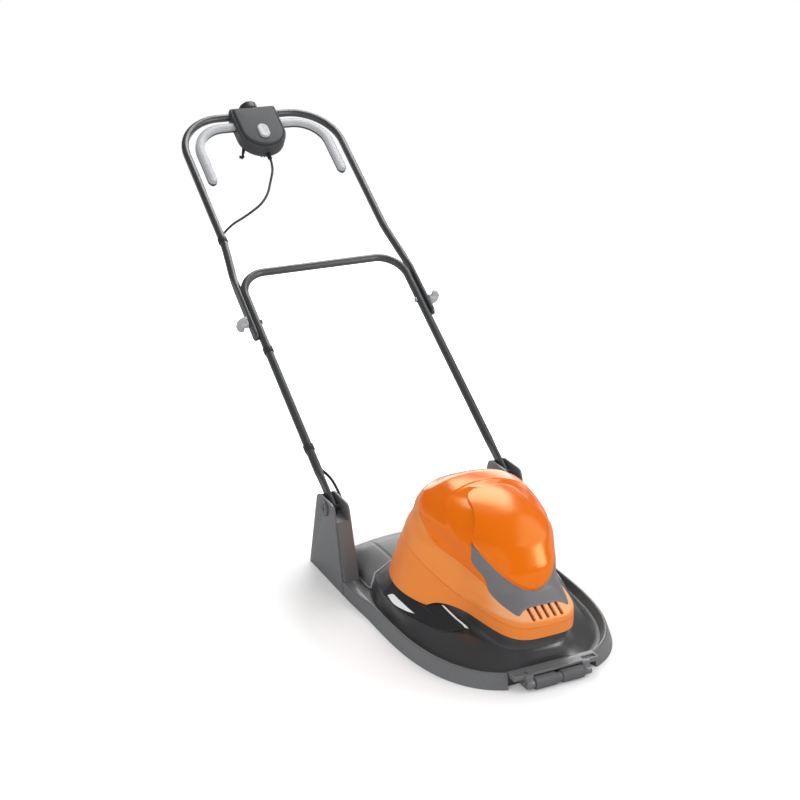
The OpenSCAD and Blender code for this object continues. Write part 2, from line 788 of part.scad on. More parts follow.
module blade() {
  w = blade_w / 2;
  l = blade_l / 2;
  color("#9da0a4") on_deck() translate([0, 0, blade_z]) difference() {
    linear_extrude(blade_t) polygon([
      [-l, -w], [l - tip_cut, -w], [l, -w * tip_share], [l, w], [-l + tip_cut, w], [-l, w * tip_share]
    ]);
    translate([0, 0, -cut]) cylinder(r = shaft_r + running, h = blade_t + 2 * cut);
  }
}
module blade_washer() {
  color("#8d9094") on_deck() tube_z(washer_z, washer_t, washer_r, shaft_r + running);
}
module blade_nut() {
  color("#7d8084") on_deck() translate([0, 0, nut_z]) difference() {
    cylinder(r = nut_r, h = nut_h, $fn = nut_sides);
    translate([0, 0, -cut]) cylinder(r = shaft_r + running, h = nut_h + 2 * cut);
  }
}

// Handle tubes: legs, two quarter bends and a crosspiece, hollow above the flattened ends
tube_wall = 1.5;
module bends(r, s0, s1, bend) {
  both_sides() {
    rod([leg_x, s0, 0], [leg_x, s1 - bend, 0], r);
    translate([leg_x - bend, s1 - bend, 0]) rotate_extrude(angle = 90) translate([bend, 0]) circle(r = r);
  }
  rod([-leg_x + bend, s1, 0], [leg_x - bend, s1, 0], r);
}
module flat_end(x, s0, s1) {
  slab_x(x - leg_flat_t / 2, x + leg_flat_t / 2) {
    translate([s0, -leg_flat_w / 2]) square([s1 - s0, leg_flat_w]);
    for (s = [s0, s1]) translate([s, 0]) circle(r = leg_flat_w / 2);
  }
}
bolt_r = 3;
module lower_tube() {
  color("#2e2f31") in_handle() difference() {
    union() {
      bends(tube_r, leg_flat_l, lower_reach, lower_bend);
      both_sides() flat_end(leg_x, 0, leg_flat_l);
    }
    bends(tube_r - tube_wall, leg_flat_l + leg_flat_w / 2, lower_reach, lower_bend);
    bar_x(-plate_x, plate_x, 0, 0, pivot_r + running);
    bar_x(-plate_x, plate_x, fold_reach, 0, bolt_r + running);
  }
}

// Upper handle: flattened ends outside the lower legs, tubes that slant in over them, a hole under the box
fold_room = 0.5;
flat_below = 48;
flat_short = 37;
slant_short = 33;
slant_over = 92;
upper_x = leg_x + tube_r + fold_room + leg_flat_t / 2;
slant_end = lower_reach + slant_over;
module upper_tube() {
  color("#2e2f31") in_handle() difference() {
    union() {
      bends(tube_r, slant_end, upper_reach, upper_bend);
      both_sides() {
        rod([upper_x, lower_reach - slant_short, 0], [leg_x, slant_end, 0], tube_r);
        translate([leg_x, slant_end, 0]) sphere(r = tube_r + gap);
        flat_end(upper_x, fold_reach - flat_below + leg_flat_w / 2, lower_reach - flat_short);
      }
    }
    bends(tube_r - tube_wall, slant_end + tube_d, upper_reach, upper_bend);
    bar_x(-upper_x - leg_flat_t, upper_x + leg_flat_t, fold_reach, 0, bolt_r + running);
    translate([0, upper_reach, -tube_d]) cylinder(r = bolt_r, h = tube_d);
  }
}

// Fold bolts through both tubes, with a wing knob on each outside
bolt_head_r = 6;
bolt_head_h = 3;
knob_hub_r = 9;
knob_hub_l = 18;
knob_cap = 3;
wing_r = 20;
wing_off = 6;
wing_long = 4;
wing_t = 7;
collar_t = 2;
knob_x = upper_x + leg_flat_t / 2 + collar_t;
bolt_end = knob_x + knob_hub_l - knob_cap;
module fold_bolts() {
  x = leg_x - tube_r;
  color("silver") in_handle() both_sides() {
    bar_x(x - bolt_head_h, x, fold_reach, 0, bolt_head_r);
    bar_x(x - cut, bolt_end - gap, fold_reach, 0, bolt_r);
    bar_x(knob_x - collar_t, knob_x, fold_reach, 0, bolt_head_r);
  }
}
module wing_knob() {
  color("#b9bcc2") in_handle() difference() {
    union() {
      bar_x(knob_x, knob_x + knob_hub_l, fold_reach, 0, knob_hub_r);
      translate([knob_x + wing_off, fold_reach + wing_t / 2, 0]) rotate([quarter_turn, 0, 0])
        linear_extrude(wing_t) difference() {
          union() {
            for (y = [-1, 1]) translate([0, y * wing_long]) circle(r = wing_r);
            translate([0, -wing_long]) square([wing_r, 2 * wing_long]);
          }
          translate([-wing_r - cut, -wing_r - wing_long - cut])
            square([wing_r + cut, 2 * (wing_r + wing_long + cut)]);
        }
    }
    bar_x(knob_x - cut, bolt_end, fold_reach, 0, bolt_r + running);
  }
}
module wing_knob_right() wing_knob();
module wing_knob_left() mirror([1, 0, 0]) wing_knob();

// Lead: routes in the frame of the handle, under the left leg, swept with a round section
lead_r = lead_d / 2;
lead_sides = 10;
lead_drop = tube_r + lead_r + fold_room;
lead_off = 6;
grommet_room = 10;
grommet_r = 5;
lead_in = min(inner_x - plate_t - lead_off, deck_w / 2 - trough_in - grommet_r - grommet_room);
// Where the clip, the front of the box, the leg and the lead inside the bracket are in the routes as drawn
drawn_clip = 757;
drawn_box = 1029;
drawn_leg = 205;
drawn_in = 181;
drawn_end = 745;
drawn_bend = 145;
lead_route_upper = [
  [0, 1034, -5.5], [0, 1012, -5.5], [-2, 994, -6], [-6, 977, -7], [-13, 960, -8], [-24, 938, -9],
  [-36, 914, -9], [-50, 892, -9], [-72, 868, -9], [-100, 848, -9], [-130, 830, -9], [-156, 816, -9],
  [-176, 802, -10], [-191, 789, -12], [-200, 780, -13], [-205, 768, -13], [-205, 757, -13], [-205, 747, -13]
];
lead_route_low = [
  [-205, 745, -13], [-205, 730, -13], [-205, 715, -13], [-205, 700, -13], [-205, 680, -13], [-205, 660, -13],
  [-205, 640, -13], [-205, 620, -13], [-205, 600, -13], [-205, 580, -13], [-205, 560, -13], [-205, 540, -13],
  [-205, 520, -13], [-205, 500, -13], [-205, 480, -13], [-205, 460, -13], [-205, 440, -13], [-205, 420, -13],
  [-205, 400, -13], [-205, 380, -13], [-205, 360, -13], [-205, 340, -13], [-205, 320, -13], [-205, 300, -13],
  [-205, 280, -13], [-205, 260, -13], [-205, 240, -13], [-205, 220, -13], [-205, 200, -13], [-205, 172, -13],
  [-205, 158, -13], [-205, 145, -13], [-203, 130, -13], [-198, 112, -12], [-191, 96, -10], [-185, 80, -7],
  [-182, 64, -4], [-181, 48, -2], [-181, 30, 0], [-181, 14, 0], [-181, 0, 0]
];
function fit_upper(p) = [
  p.x * leg_x / drawn_leg,
  p.y > drawn_box ? p.y + box_s - box_r - drawn_box
    : clip_high + (p.y - drawn_clip) * (box_s - box_r - clip_high) / (drawn_box - drawn_clip),
  p.z
];
function fit_low(p) =
  let (k = (clip_high - drawn_clip + drawn_end - drawn_bend) / (drawn_end - drawn_bend))
  [
    -leg_x + (p.x + drawn_leg) * (leg_x - lead_in) / (drawn_leg - drawn_in),
    p.y < drawn_bend ? p.y : drawn_bend + (p.y - drawn_bend) * k,
    p.z
  ];
function unit(v) = v / norm(v);
function lead_ring(route, i) =
  let (
    n = len(route) - 1,
    d = unit(route[min(i + 1, n)] - route[max(i - 1, 0)]),
    u = unit(cross(d, [0, 0, 1])),
    v = cross(d, u)
  )
  [for (k = [0 : lead_sides - 1]) let (a = k * full_turn / lead_sides)
    route[i] + lead_r * (cos(a) * u + sin(a) * v)];
module lead(route) {
  color("#1f2022") in_handle() sweep([for (i = [0 : len(route) - 1]) lead_ring(route, i)]);
}
module lead_upper() lead([for (p = lead_route_upper) fit_upper(p)]);
module lead_lower() lead([for (p = lead_route_low) fit_low(p)]);
tail_gap = 4;
grommet_h = 24;
tail_foot = 4;
module lead_tail() {
  color("#1f2022") on_deck() translate([-lead_in, pivot_y, trough_z + tail_foot])
    cylinder(r = lead_r, h = pivot_z - tail_gap - trough_z - tail_foot);
}
module lead_grommet() {
  color("#2a2b2d") on_deck() translate([-lead_in, pivot_y, trough_z]) difference() {
    cylinder(r = grommet_r, h = grommet_h);
    translate([0, 0, tail_foot]) cylinder(r = lead_r + running, h = grommet_h);
  }
}

// Clips that hold the lead under the left leg
clip_w = 14;
clip_t = 2;
clip_first = 152;
clip_below = 81;
clip_above = 17;
clips_low = [clip_first, fold_reach - clip_below];
clip_high = slant_end + clip_above;
module clip(s) {
  color("#37383b") in_handle() translate([-leg_x, s, 0]) rotate([90, 0, 0]) translate([0, 0, -clip_w / 2])
    difference() {
      union() {
        cylinder(r = tube_r + clip_t, h = clip_w);
        translate([0, -lead_drop, 0]) cylinder(r = lead_r + clip_t, h = clip_w);
      }
      translate([0, 0, -cut]) cylinder(r = tube_r + running, h = clip_w + 2 * cut);
      translate([0, -lead_drop, -cut]) cylinder(r = lead_r + running, h = clip_w + 2 * cut);
    }
}
module lower_clips() for (s = clips_low) clip(s);
module upper_clip() clip(clip_high);

// Switch box: a D outline round the top bar, split level with the bar
box_wall = 3;
box_s = upper_reach - box_front;
box_end = upper_reach + box_back;
bar_wall = 4;
panel_h = 5;
panel_in = 7;
module d_outline(in, end) {
  translate([0, box_s]) circle(r = box_r - in);
  translate([-box_r + in, box_s]) square([2 * (box_r - in), end - box_s]);
}
cavity_end = upper_reach - tube_r - bar_wall;
// Levers: pivots inside the box, arms inside the loop of the top tube
lever_x = 42;
grip_gap = 36;
lever_s = upper_reach - grip_gap;
lever_w = 22;
lever_low = 8;
lever_high = 10;
lever_l = 92;
lever_hub_r = 11;
lever_room = 2;
post_r = 4;
boss_r = 8;
post_over = 2;
// Lock button and its spring
button_ahead = 9;
button_s = box_s - button_ahead;
button_r = 14;
button_straight = 18;
button_over = 5;
button_flange = 2.5;
flange_h = 3;
spring_l = 18;
spring_r = 7;
wire_r = 0.8;
spring_turns = 5;
spring_steps = 60;
wire_sides = 6;
ceiling = box_high - box_wall;
flange_z = ceiling - flange_h;
seat_r = 10;
// Screws from below, in bosses, placed from the middle of the round end
box_screw_points = [[32, -35], [22, 44]];
box_screw_depth = 14;
box_boss_r = 5;
strain_r = 6.5;
neck_r = 4.5;
lock_r = 5.3;
strain_out = 16;
neck_in = 8;
neck_lock = 3;
lead_h = -5.5;
module lever_slots() {
  both_sides() translate([box_r - 2 * box_wall, lever_s - lever_w / 2 - lever_room, -lever_low - gap])
    cube([2 * box_wall + cut, lever_w + 2 * lever_room, lever_low + lever_high + 2 * gap]);
}
module at_screws() {
  both_sides() for (p = box_screw_points) translate([p.x, box_s + p.y, 0]) children();
}
module bar_hole() {
  bar_x(-box_r - cut, box_r + cut, upper_reach, 0, tube_r + running);
}
module box_base() {
  floor_h = -box_low + box_wall;
  color("#3b3c3f") in_handle() difference() {
    union() {
      difference() {
        translate([0, 0, -box_low]) linear_extrude(box_low) d_outline(0, box_end);
        translate([0, 0, floor_h]) linear_extrude(box_low) d_outline(box_wall, cavity_end);
      }
      both_sides() {
        translate([lever_x, lever_s, floor_h]) cylinder(r = boss_r, h = -lever_low - floor_h);
        translate([lever_x, lever_s, floor_h]) cylinder(r = post_r, h = lever_high + post_over - floor_h);
      }
      at_screws() translate([0, 0, floor_h]) cylinder(r = box_boss_r, h = -floor_h);
      translate([0, button_s, floor_h]) cylinder(r = seat_r, h = flange_z - spring_l - floor_h);
    }
    bar_hole();
    lever_slots();
    translate([0, box_s - box_r - cut, lead_h]) rotate([-90, 0, 0])
      cylinder(r = neck_r + running, h = neck_in);
    at_screws() {
      translate([0, 0, -box_low - cut]) cylinder(r = screw_r + running, h = box_low + 2 * cut);
      translate([0, 0, -box_low - cut]) cylinder(r = screw_head_r + gap, h = screw_head_h + cut);
    }
  }
}
module button_outline(in) {
  for (y = [-1, 1]) translate([0, button_s + y * button_straight / 2]) circle(r = button_r - in);
  translate([-button_r + in, button_s - button_straight / 2]) square([2 * (button_r - in), button_straight]);
}
module box_top() {
  color("#3b3c3f") in_handle() difference() {
    union() {
      difference() {
        union() {
          linear_extrude(box_high - panel_h) d_outline(0, box_end);
          linear_extrude(box_high) d_outline(panel_in, box_end - panel_in);
        }
        translate([0, 0, -cut]) linear_extrude(box_high - panel_h - box_wall + cut)
          d_outline(box_wall, cavity_end);
        linear_extrude(ceiling) d_outline(panel_in + box_wall, cavity_end);
      }
      at_screws() cylinder(r = box_boss_r, h = ceiling);
    }
    bar_hole();
    lever_slots();
    linear_extrude(box_high + cut) button_outline(-gap);
    at_screws() translate([0, 0, -cut]) cylinder(r = screw_r + running, h = box_screw_depth + cut);
  }
}
module lock_button() {
  color("#b9bcc2") in_handle() {
    translate([0, 0, flange_z]) linear_extrude(box_high + button_over - flange_z) button_outline(0);
    translate([0, 0, flange_z]) linear_extrude(flange_h) button_outline(-button_flange);
  }
}
function spring_ring(i) =
  let (
    f = i / spring_steps, a = f * spring_turns * full_turn,
    c = [spring_r * cos(a), spring_r * sin(a), wire_r + f * (spring_l - 2 * wire_r)],
    u = [cos(a), sin(a), 0], d = [-sin(a), cos(a), 0], v = cross(d, u)
  )
  [for (k = [0 : wire_sides - 1]) let (b = k * full_turn / wire_sides)
    c + wire_r * (cos(b) * u + sin(b) * v)];
module button_spring() {
  color("silver") in_handle() translate([0, button_s, flange_z - spring_l])
    sweep([for (i = [0 : spring_steps]) spring_ring(i)]);
}
module box_screws() {
  color("silver") in_handle() at_screws() translate([0, 0, -box_low]) {
    cylinder(r = screw_head_r, h = screw_head_h);
    cylinder(r = screw_r, h = box_low + box_screw_depth);
  }
}
switch_l = 20;
switch_w = 12;
switch_h = 12;
module microswitch() {
  color("#222326") in_handle() translate([-switch_l / 2, lever_s - switch_w / 2, -box_low + box_wall])
    cube([switch_l, switch_w, switch_h]);
}

// Mains inlet behind the box, a cord hook under it, and the relief where the lead leaves it
inlet_wall = 4;
inlet_depth = 14;
module mains_inlet() {
  color("#2b2c2e") in_handle() translate([0, box_end, -inlet_drop]) rotate([-90, 0, 0]) difference() {
    cylinder(r = inlet_r, h = inlet_l);
    translate([0, 0, inlet_l - inlet_depth]) cylinder(r = inlet_r - inlet_wall, h = inlet_l);
  }
}
hook_t = 5;
hook_outline = [
  [-52, -3], [-40, -3], [-40, -17], [-56, -43], [-56, -49], [-63, -55], [-70, -50], [-68, -43],
  [-63, -46], [-52, -17]
];
module cord_hook() {
  color("#333437") in_handle() translate([0, box_s, -box_low - hook_t])
    linear_extrude(hook_t) polygon(hook_outline);
}
module strain_relief() {
  s0 = box_s - box_r;
  color("#2a2b2d") in_handle() translate([0, s0, lead_h]) rotate([-90, 0, 0]) difference() {
    union() {
      translate([0, 0, -strain_out]) cylinder(r = strain_r, h = strain_out - gap);
      translate([0, 0, -strain_out]) cylinder(r = neck_r, h = strain_out + neck_in);
      translate([0, 0, box_wall + gap]) cylinder(r = lock_r, h = neck_lock);
    }
    translate([0, 0, -strain_out - cut]) cylinder(r = lead_r + running, h = strain_out + neck_in + 2 * cut);
  }
}
module lever_outline() {
  r = upper_bend - grip_gap;
  x = leg_x - upper_bend;
  s = upper_reach - upper_bend;
  translate([lever_x, lever_s]) circle(r = lever_hub_r);
  translate([lever_x, lever_s - lever_w / 2]) square([x - lever_x, lever_w]);
  translate([x, s]) intersection() {
    difference() {
      circle(r = r + lever_w / 2);
      circle(r = r - lever_w / 2);
    }
    square(r + lever_w);
  }
  translate([x + r - lever_w / 2, s - lever_l]) square([lever_w, lever_l]);
  translate([x + r, s - lever_l]) circle(r = lever_w / 2);
}
module lever_part(z, h) {
  in_handle() translate([0, 0, z]) difference() {
    linear_extrude(h) lever_outline();
    translate([lever_x, lever_s, -cut]) cylinder(r = post_r + running, h = h + 2 * cut);
  }
}
module lever_core() color("#3d3e42") lever_part(-lever_low, lever_low);
module lever_cover() color("#b9bcc2") lever_part(0, lever_high);
module lever_right_core() lever_core();
module lever_left_core() mirror([1, 0, 0]) lever_core();
module lever_right_cover() lever_cover();
module lever_left_cover() mirror([1, 0, 0]) lever_cover();

hood();
intake_guard_left();
intake_guard_right();
rear_cover();
bracket_left();
bracket_right();
roller_carrier();
roller_axle();
cowl_skirt();
cowl_cap();
cowl_trim();
motor_plate();
motor_can();
stator_core();
field_coils();
end_bracket();
lower_bearing();
upper_bearing();
brush_holders();
carbon_brushes();
capacitor();
terminal_block();
lead_grommet();
lead_tail();
pivot_screws();
cowl_screws();
motor_screws();
motor_shaft();
armature();
commutator();
fan();
height_spacers();
blade();
blade_washer();
blade_nut();
transport_roller();
lower_tube();
lower_clips();
fold_bolts();
lead_lower();
wing_knob_left();
wing_knob_right();
upper_tube();
upper_clip();
lead_upper();
box_base();
box_top();
mains_inlet();
cord_hook();
strain_relief();
microswitch();
box_screws();
button_spring();
lock_button();
lever_left_core();
lever_left_cover();
lever_right_core();
lever_right_cover();
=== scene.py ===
import math

import bmesh
import bpy
import numpy as np
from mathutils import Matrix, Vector


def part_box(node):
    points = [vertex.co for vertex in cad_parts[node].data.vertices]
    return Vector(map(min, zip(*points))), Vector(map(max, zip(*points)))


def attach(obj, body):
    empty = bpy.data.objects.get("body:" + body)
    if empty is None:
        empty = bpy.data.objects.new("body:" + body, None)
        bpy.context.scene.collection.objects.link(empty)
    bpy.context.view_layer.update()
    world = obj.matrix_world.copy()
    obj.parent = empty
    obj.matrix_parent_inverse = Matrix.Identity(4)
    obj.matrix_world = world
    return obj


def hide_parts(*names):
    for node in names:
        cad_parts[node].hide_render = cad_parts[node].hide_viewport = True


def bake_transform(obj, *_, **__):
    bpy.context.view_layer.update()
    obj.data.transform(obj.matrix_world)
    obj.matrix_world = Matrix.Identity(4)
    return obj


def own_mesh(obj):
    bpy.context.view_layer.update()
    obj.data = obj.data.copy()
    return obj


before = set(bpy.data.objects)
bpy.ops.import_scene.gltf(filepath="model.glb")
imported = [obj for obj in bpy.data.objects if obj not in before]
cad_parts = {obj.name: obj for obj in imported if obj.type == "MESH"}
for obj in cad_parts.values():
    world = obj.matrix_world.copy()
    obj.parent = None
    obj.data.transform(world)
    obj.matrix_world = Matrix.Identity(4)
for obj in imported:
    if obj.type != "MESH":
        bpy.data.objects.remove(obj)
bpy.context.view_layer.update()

# Camera: on the left of the nose, about 21 degrees above the floor, with no shift.
# Its place is measured from the rotor axis, which is the middle of the motor can.
MM = 0.001
can_low, can_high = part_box("motor_can")
ROTOR = Vector(((can_low.x + can_high.x) / 2, (can_low.y + can_high.y) / 2, 0))
EYE_FROM_ROTOR = Vector((-1.349, -2.462, 1.522))
EYE_HEADING = math.radians(-25.716)
EYE_DIP = math.radians(20.965)
IMAGE_PX = 800
FOCUS_PX = 1542.6
SENSOR = 36.0
scene = bpy.context.scene
scene.view_settings.view_transform = "Standard"
camera = bpy.data.objects.new("camera", bpy.data.cameras.new("camera"))
camera.data.sensor_width = SENSOR
camera.data.lens = FOCUS_PX / IMAGE_PX * SENSOR
camera.location = ROTOR + EYE_FROM_ROTOR
camera.rotation_euler = (math.pi / 2 - EYE_DIP, 0, EYE_HEADING)
scene.collection.objects.link(camera)
scene.camera = camera


# Floor and light: a white paper sweep under five soft boxes, as in a product studio.
# The paper keeps the shadow near the mower and fades out into the white of the world.
class Paint:
    """A socket of a node tree. Sums and products of sockets add Math nodes; node() adds any other node."""

    def __init__(self, tree, socket=None):
        self.tree = tree
        self.socket = socket

    def node(self, kind, settings=None, sockets=None, out=0):
        made = self.tree.nodes.new(kind)
        for name, value in (settings or {}).items():
            setattr(made, name, value)
        for key, value in (sockets or {}).items():
            if isinstance(value, Paint):
                self.tree.links.new(value.socket, made.inputs[key])
            else:
                made.inputs[key].default_value = value
        return Paint(self.tree, made.outputs[out] if made.outputs else None)

    def maths(self, operation, *terms):
        return self.node("ShaderNodeMath", {"operation": operation}, dict(enumerate(terms)))

    def __add__(self, other):
        return self.maths("ADD", self, other)

    def __radd__(self, other):
        return self.maths("ADD", other, self)

    def __sub__(self, other):
        return self.maths("SUBTRACT", self, other)

    def __rsub__(self, other):
        return self.maths("SUBTRACT", other, self)

    def __mul__(self, other):
        return self.maths("MULTIPLY", self, other)

    def __rmul__(self, other):
        return self.maths("MULTIPLY", other, self)

    def __truediv__(self, other):
        return self.maths("DIVIDE", self, other)

    def clamped(self):
        return self.node("ShaderNodeClamp", {}, {0: self})

    def mixed(self, a, b):
        """Colour a where this value is 0 and colour b where it is 1."""
        return self.node("ShaderNodeMix", {"data_type": "RGBA"}, {0: self, 6: a, 7: b}, 2)

    def noise(self, scale, detail=3.0, rough=0.5):
        """Noise over this vector."""
        return self.node("ShaderNodeTexNoise", {},
                         {"Vector": self, "Scale": scale, "Detail": detail, "Roughness": rough})

    def times(self, vector):
        """This vector, stretched along each axis."""
        return self.node("ShaderNodeVectorMath", {"operation": "MULTIPLY"}, {0: self, 1: vector})

    def away_from(self, point):
        """Distance of this vector from a point."""
        return self.node("ShaderNodeVectorMath", {"operation": "DISTANCE"}, {0: self, 1: point}, 1)

    def axis(self, index):
        return self.node("ShaderNodeSeparateXYZ", {}, {0: self}, index)


def blank(name):
    """A new material with no nodes, as a Paint, and the Object coordinates of whatever carries it."""
    material = bpy.data.materials.new(name)
    material.use_nodes = True
    material.node_tree.nodes.clear()
    paint = Paint(material.node_tree)
    return material, paint, paint.node("ShaderNodeTexCoord", {}, {}, 3)


FLOOR_HALF = 6.0
FLOOR_SOLID = 2.2
FLOOR_FADE = 1.6
FLOOR_WHITE = (0.82, 0.82, 0.82, 1)
FLOOR_LIFT = 0.12
FLOOR_FAR_LIFT = 0.75
FLOOR_NEAR = 0.34
FLOOR_RISE = 0.4
FLOOR_IN_GLOSS = (0.42, 0.42, 0.42, 1)
paper, paint, where = blank("floor_paper")
rays = paint.node("ShaderNodeLightPath").socket.node.outputs
seen = Paint(paint.tree, rays["Is Camera Ray"])
fade = ((where.away_from((0, 0, 0)) - FLOOR_SOLID) / FLOOR_FADE).clamped()
matt = paint.node("ShaderNodeBsdfDiffuse", {}, {
    "Color": Paint(paint.tree, rays["Is Glossy Ray"]).mixed(FLOOR_WHITE, FLOOR_IN_GLOSS)})
far = ((where.away_from(tuple(ROTOR)) - FLOOR_NEAR) / FLOOR_RISE).clamped()
lift = paint.node("ShaderNodeEmission", {}, {"Strength": seen * (far * FLOOR_FAR_LIFT + FLOOR_LIFT)})
sheet = paint.node("ShaderNodeAddShader", {}, {0: matt, 1: lift})
clear = paint.node("ShaderNodeBsdfTransparent")
faded = paint.node("ShaderNodeMixShader", {}, {0: fade, 1: sheet, 2: clear})
paint.node("ShaderNodeOutputMaterial", {}, {0: faded})
mesh = bpy.data.meshes.new("floor")
corners = [(x * FLOOR_HALF, y * FLOOR_HALF, 0) for x, y in ((-1, -1), (1, -1), (1, 1), (-1, 1))]
mesh.from_pydata(corners, [], [(0, 1, 2, 3)])
mesh.materials.append(paper)
floor = bpy.data.objects.new("floor", mesh)
scene.collection.objects.link(floor)

# Level of the room on matt faces, what polished faces see above the white backdrop, and how high that stands
ROOM_LEVEL = 0.5
SHINE_LEVEL = 0.12
BACKDROP_TO = 0.0
BACKDROP_FADE = 0.1
world = bpy.data.worlds.new("studio")
scene.world = world
world.use_nodes = True
world.node_tree.nodes.clear()
sky = Paint(world.node_tree)
rays = sky.node("ShaderNodeLightPath").socket.node.outputs
seen = Paint(sky.tree, rays["Is Camera Ray"])
mirrored = [Paint(sky.tree, rays[ray]) for ray in ("Is Glossy Ray", "Is Transmission Ray")]
shine = sky.maths("MAXIMUM", *mirrored)
above = ((sky.node("ShaderNodeTexCoord").axis(2) - BACKDROP_TO) / BACKDROP_FADE).clamped()
level = seen * (1 - ROOM_LEVEL) + shine * (1 - ROOM_LEVEL - above * (1 - SHINE_LEVEL)) + ROOM_LEVEL
room = sky.node("ShaderNodeBackground", {}, {"Color": (1, 1, 1, 1), "Strength": level})
sky.node("ShaderNodeOutputWorld", {}, {0: room})

# Each soft box: where it hangs from the rotor axis, its sides, its power in watts and whether gloss shows it
SOFT_BOXES = {
    "overhead": ((0.8, 1.5, 2.03), 1.4, 1.0, 24.0, True),
    "back_panel": ((1.3, 2.7, 0.8), 2.6, 1.2, 30.0, True),
    "front_fill": ((-2.6, -1.9, 1.6), 3.2, 2.2, 55.0, False),
    "right_core": ((1.55, -1.44, 1.1), 0.95, 0.75, 12.0, True),
    "right_wall": ((1.72, -0.7, 1.87), 2.4, 2.0, 18.0, True),
}
AIM_UP = 0.2
AIM = ROTOR + Vector((0, 0, AIM_UP))
for name, (offset, side, depth, watts, in_gloss) in SOFT_BOXES.items():
    lamp = bpy.data.lights.new(name, "AREA")
    lamp.shape = "RECTANGLE"
    lamp.size, lamp.size_y = side, depth
    lamp.energy = watts
    holder = bpy.data.objects.new(name, lamp)
    holder.visible_glossy = in_gloss
    holder.location = ROTOR + Vector(offset)
    holder.rotation_euler = (AIM - holder.location).to_track_quat("-Z", "Y").to_euler()
    scene.collection.objects.link(holder)


# Hood: the black moulded deck, with a rim all round, a trough and the mound that carries motor and cowl.
# Satin polypropylene with a fine spark texture, moulded in one piece with rounded edges; the outer face of its rim
# is painted paler as a sheen.
def srgb(code):
    """A colour as it is written on a swatch, in linear light."""
    parts = [int(code[i:i + 2], 16) / 255 for i in (1, 3, 5)]
    return (*[p / 12.92 if p <= 0.04045 else ((p + 0.055) / 1.055) ** 2.4 for p in parts], 1)


def surfaced(material, paint, sockets, height, strength, depth):
    """The material with one shader of these sockets over a relief, whose depth is in metres."""
    bump = paint.node("ShaderNodeBump", {}, {"Strength": strength, "Distance": depth, "Height": height})
    shader = paint.node("ShaderNodeBsdfPrincipled", {}, {**sockets, "Normal": bump})
    paint.node("ShaderNodeOutputMaterial", {}, {0: shader})
    return material


def moulded_plastic(name, colour, worn, roughness, grain=0.12, shine=0.5, sheen_colour=None):
    """Moulded plastic: spark texture, clouds, rubbed streaks, and a paler colour painted as a sheen where the mesh
    says so.
    """
    material, paint, where = blank(name)
    clouds = where.noise(scale=9.0, detail=4.0)
    speck = where.noise(scale=1400.0, detail=2.0)
    rubbed = where.times((40.0, 260.0, 90.0)).noise(scale=1.0, detail=4.0, rough=0.6)
    tone = ((clouds - 0.5) * 0.9 + (rubbed - 0.5) * 0.2 + 0.35).clamped()
    skin_colour = tone.mixed(srgb(colour), srgb(worn))
    # Where the mesh asks for it, a paler colour is mixed in as a painted sheen
    if sheen_colour:
        painted_sheen = paint.node("ShaderNodeAttribute", {"attribute_name": "painted_sheen"}, {}, 2)
        skin_colour = (painted_sheen * (rubbed * 0.4 + 0.8)).clamped().mixed(skin_colour, srgb(sheen_colour))
    return surfaced(material, paint, {
        "Base Color": skin_colour,
        "Roughness": (speck - 0.5) * 0.1 + (rubbed - 0.5) * 0.05 + roughness,
        "Specular IOR Level": shine,
    }, height=speck + clouds * 0.5, strength=grain, depth=0.4 * MM)


def finish_piece(name, mesh, material, body, nodes=(), sharp=32):
    """Links a mesh as a piece, on its body and in place of its nodes. Edges past a sharp angle stay hard."""
    mesh.name = name
    mesh.materials.clear()
    mesh.materials.append(material)
    if sharp is not None:
        mesh.shade_smooth()
        mesh.set_sharp_from_angle(angle=math.radians(sharp))
    made = bpy.data.objects.new(name, mesh)
    scene.collection.objects.link(made)
    if body:
        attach(made, body)
    if nodes:
        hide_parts(*nodes)
    return made


def skin(rows, wrap_rows=False, cap_ends=False):
    """A mesh through rows of points, each row a closed ring, all of one length."""
    count = len(rows[0])
    points = [tuple(p) for row in rows for p in row]
    faces = []
    for i in range(len(rows) if wrap_rows else len(rows) - 1):
        k = (i + 1) % len(rows)
        faces += [(i * count + j, i * count + (j + 1) % count, k * count + (j + 1) % count, k * count + j)
                  for j in range(count)]
    if cap_ends:
        faces.append(tuple(reversed(range(count))))
        faces.append(tuple((len(rows) - 1) * count + j for j in range(count)))
    mesh = bpy.data.meshes.new("skin")
    mesh.from_pydata(points, [], faces)
    shell = bmesh.new()
    shell.from_mesh(mesh)
    bmesh.ops.remove_doubles(shell, verts=shell.verts, dist=1e-6)
    bmesh.ops.recalc_face_normals(shell, faces=shell.faces)
    shell.to_mesh(mesh)
    shell.free()
    return mesh


def oval(a, side, front, back, power_front, power_back):
    """Reach of a squared oval at angle a, which is 0 at the nose."""
    ahead = np.cos(a) > 0
    length = np.where(ahead, front, back)
    power = np.where(ahead, power_front, power_back)
    return ((np.abs(np.sin(a)) / side) ** power + (np.abs(np.cos(a)) / length) ** power) ** (-1 / power)


def soft_max(p, q, sharpness):
    return q * ((p / q) ** sharpness + 1) ** (1 / sharpness)


def rounded_profile(corners, steps=5):
    """A profile of (reach, height, rounding) corners, with each corner drawn as a short curve."""
    out = [corners[0][:2]]
    for before, corner, after in zip(corners, corners[1:], corners[2:]):
        p, c, q = (np.stack(np.broadcast_arrays(*v[:2])) for v in (before, corner, after))
        to_p, to_q = p - c, q - c
        length_p, length_q = np.linalg.norm(to_p, axis=0), np.linalg.norm(to_q, axis=0)
        a = c + to_p / length_p * np.minimum(corner[2], 0.48 * length_p)
        b = c + to_q / length_q * np.minimum(corner[2], 0.48 * length_q)
        for t in np.linspace(0, 1, steps):
            out.append(tuple((1 - t) ** 2 * a + 2 * t * (1 - t) * c + t * t * b))
    out.append(corners[-1][:2])
    return out


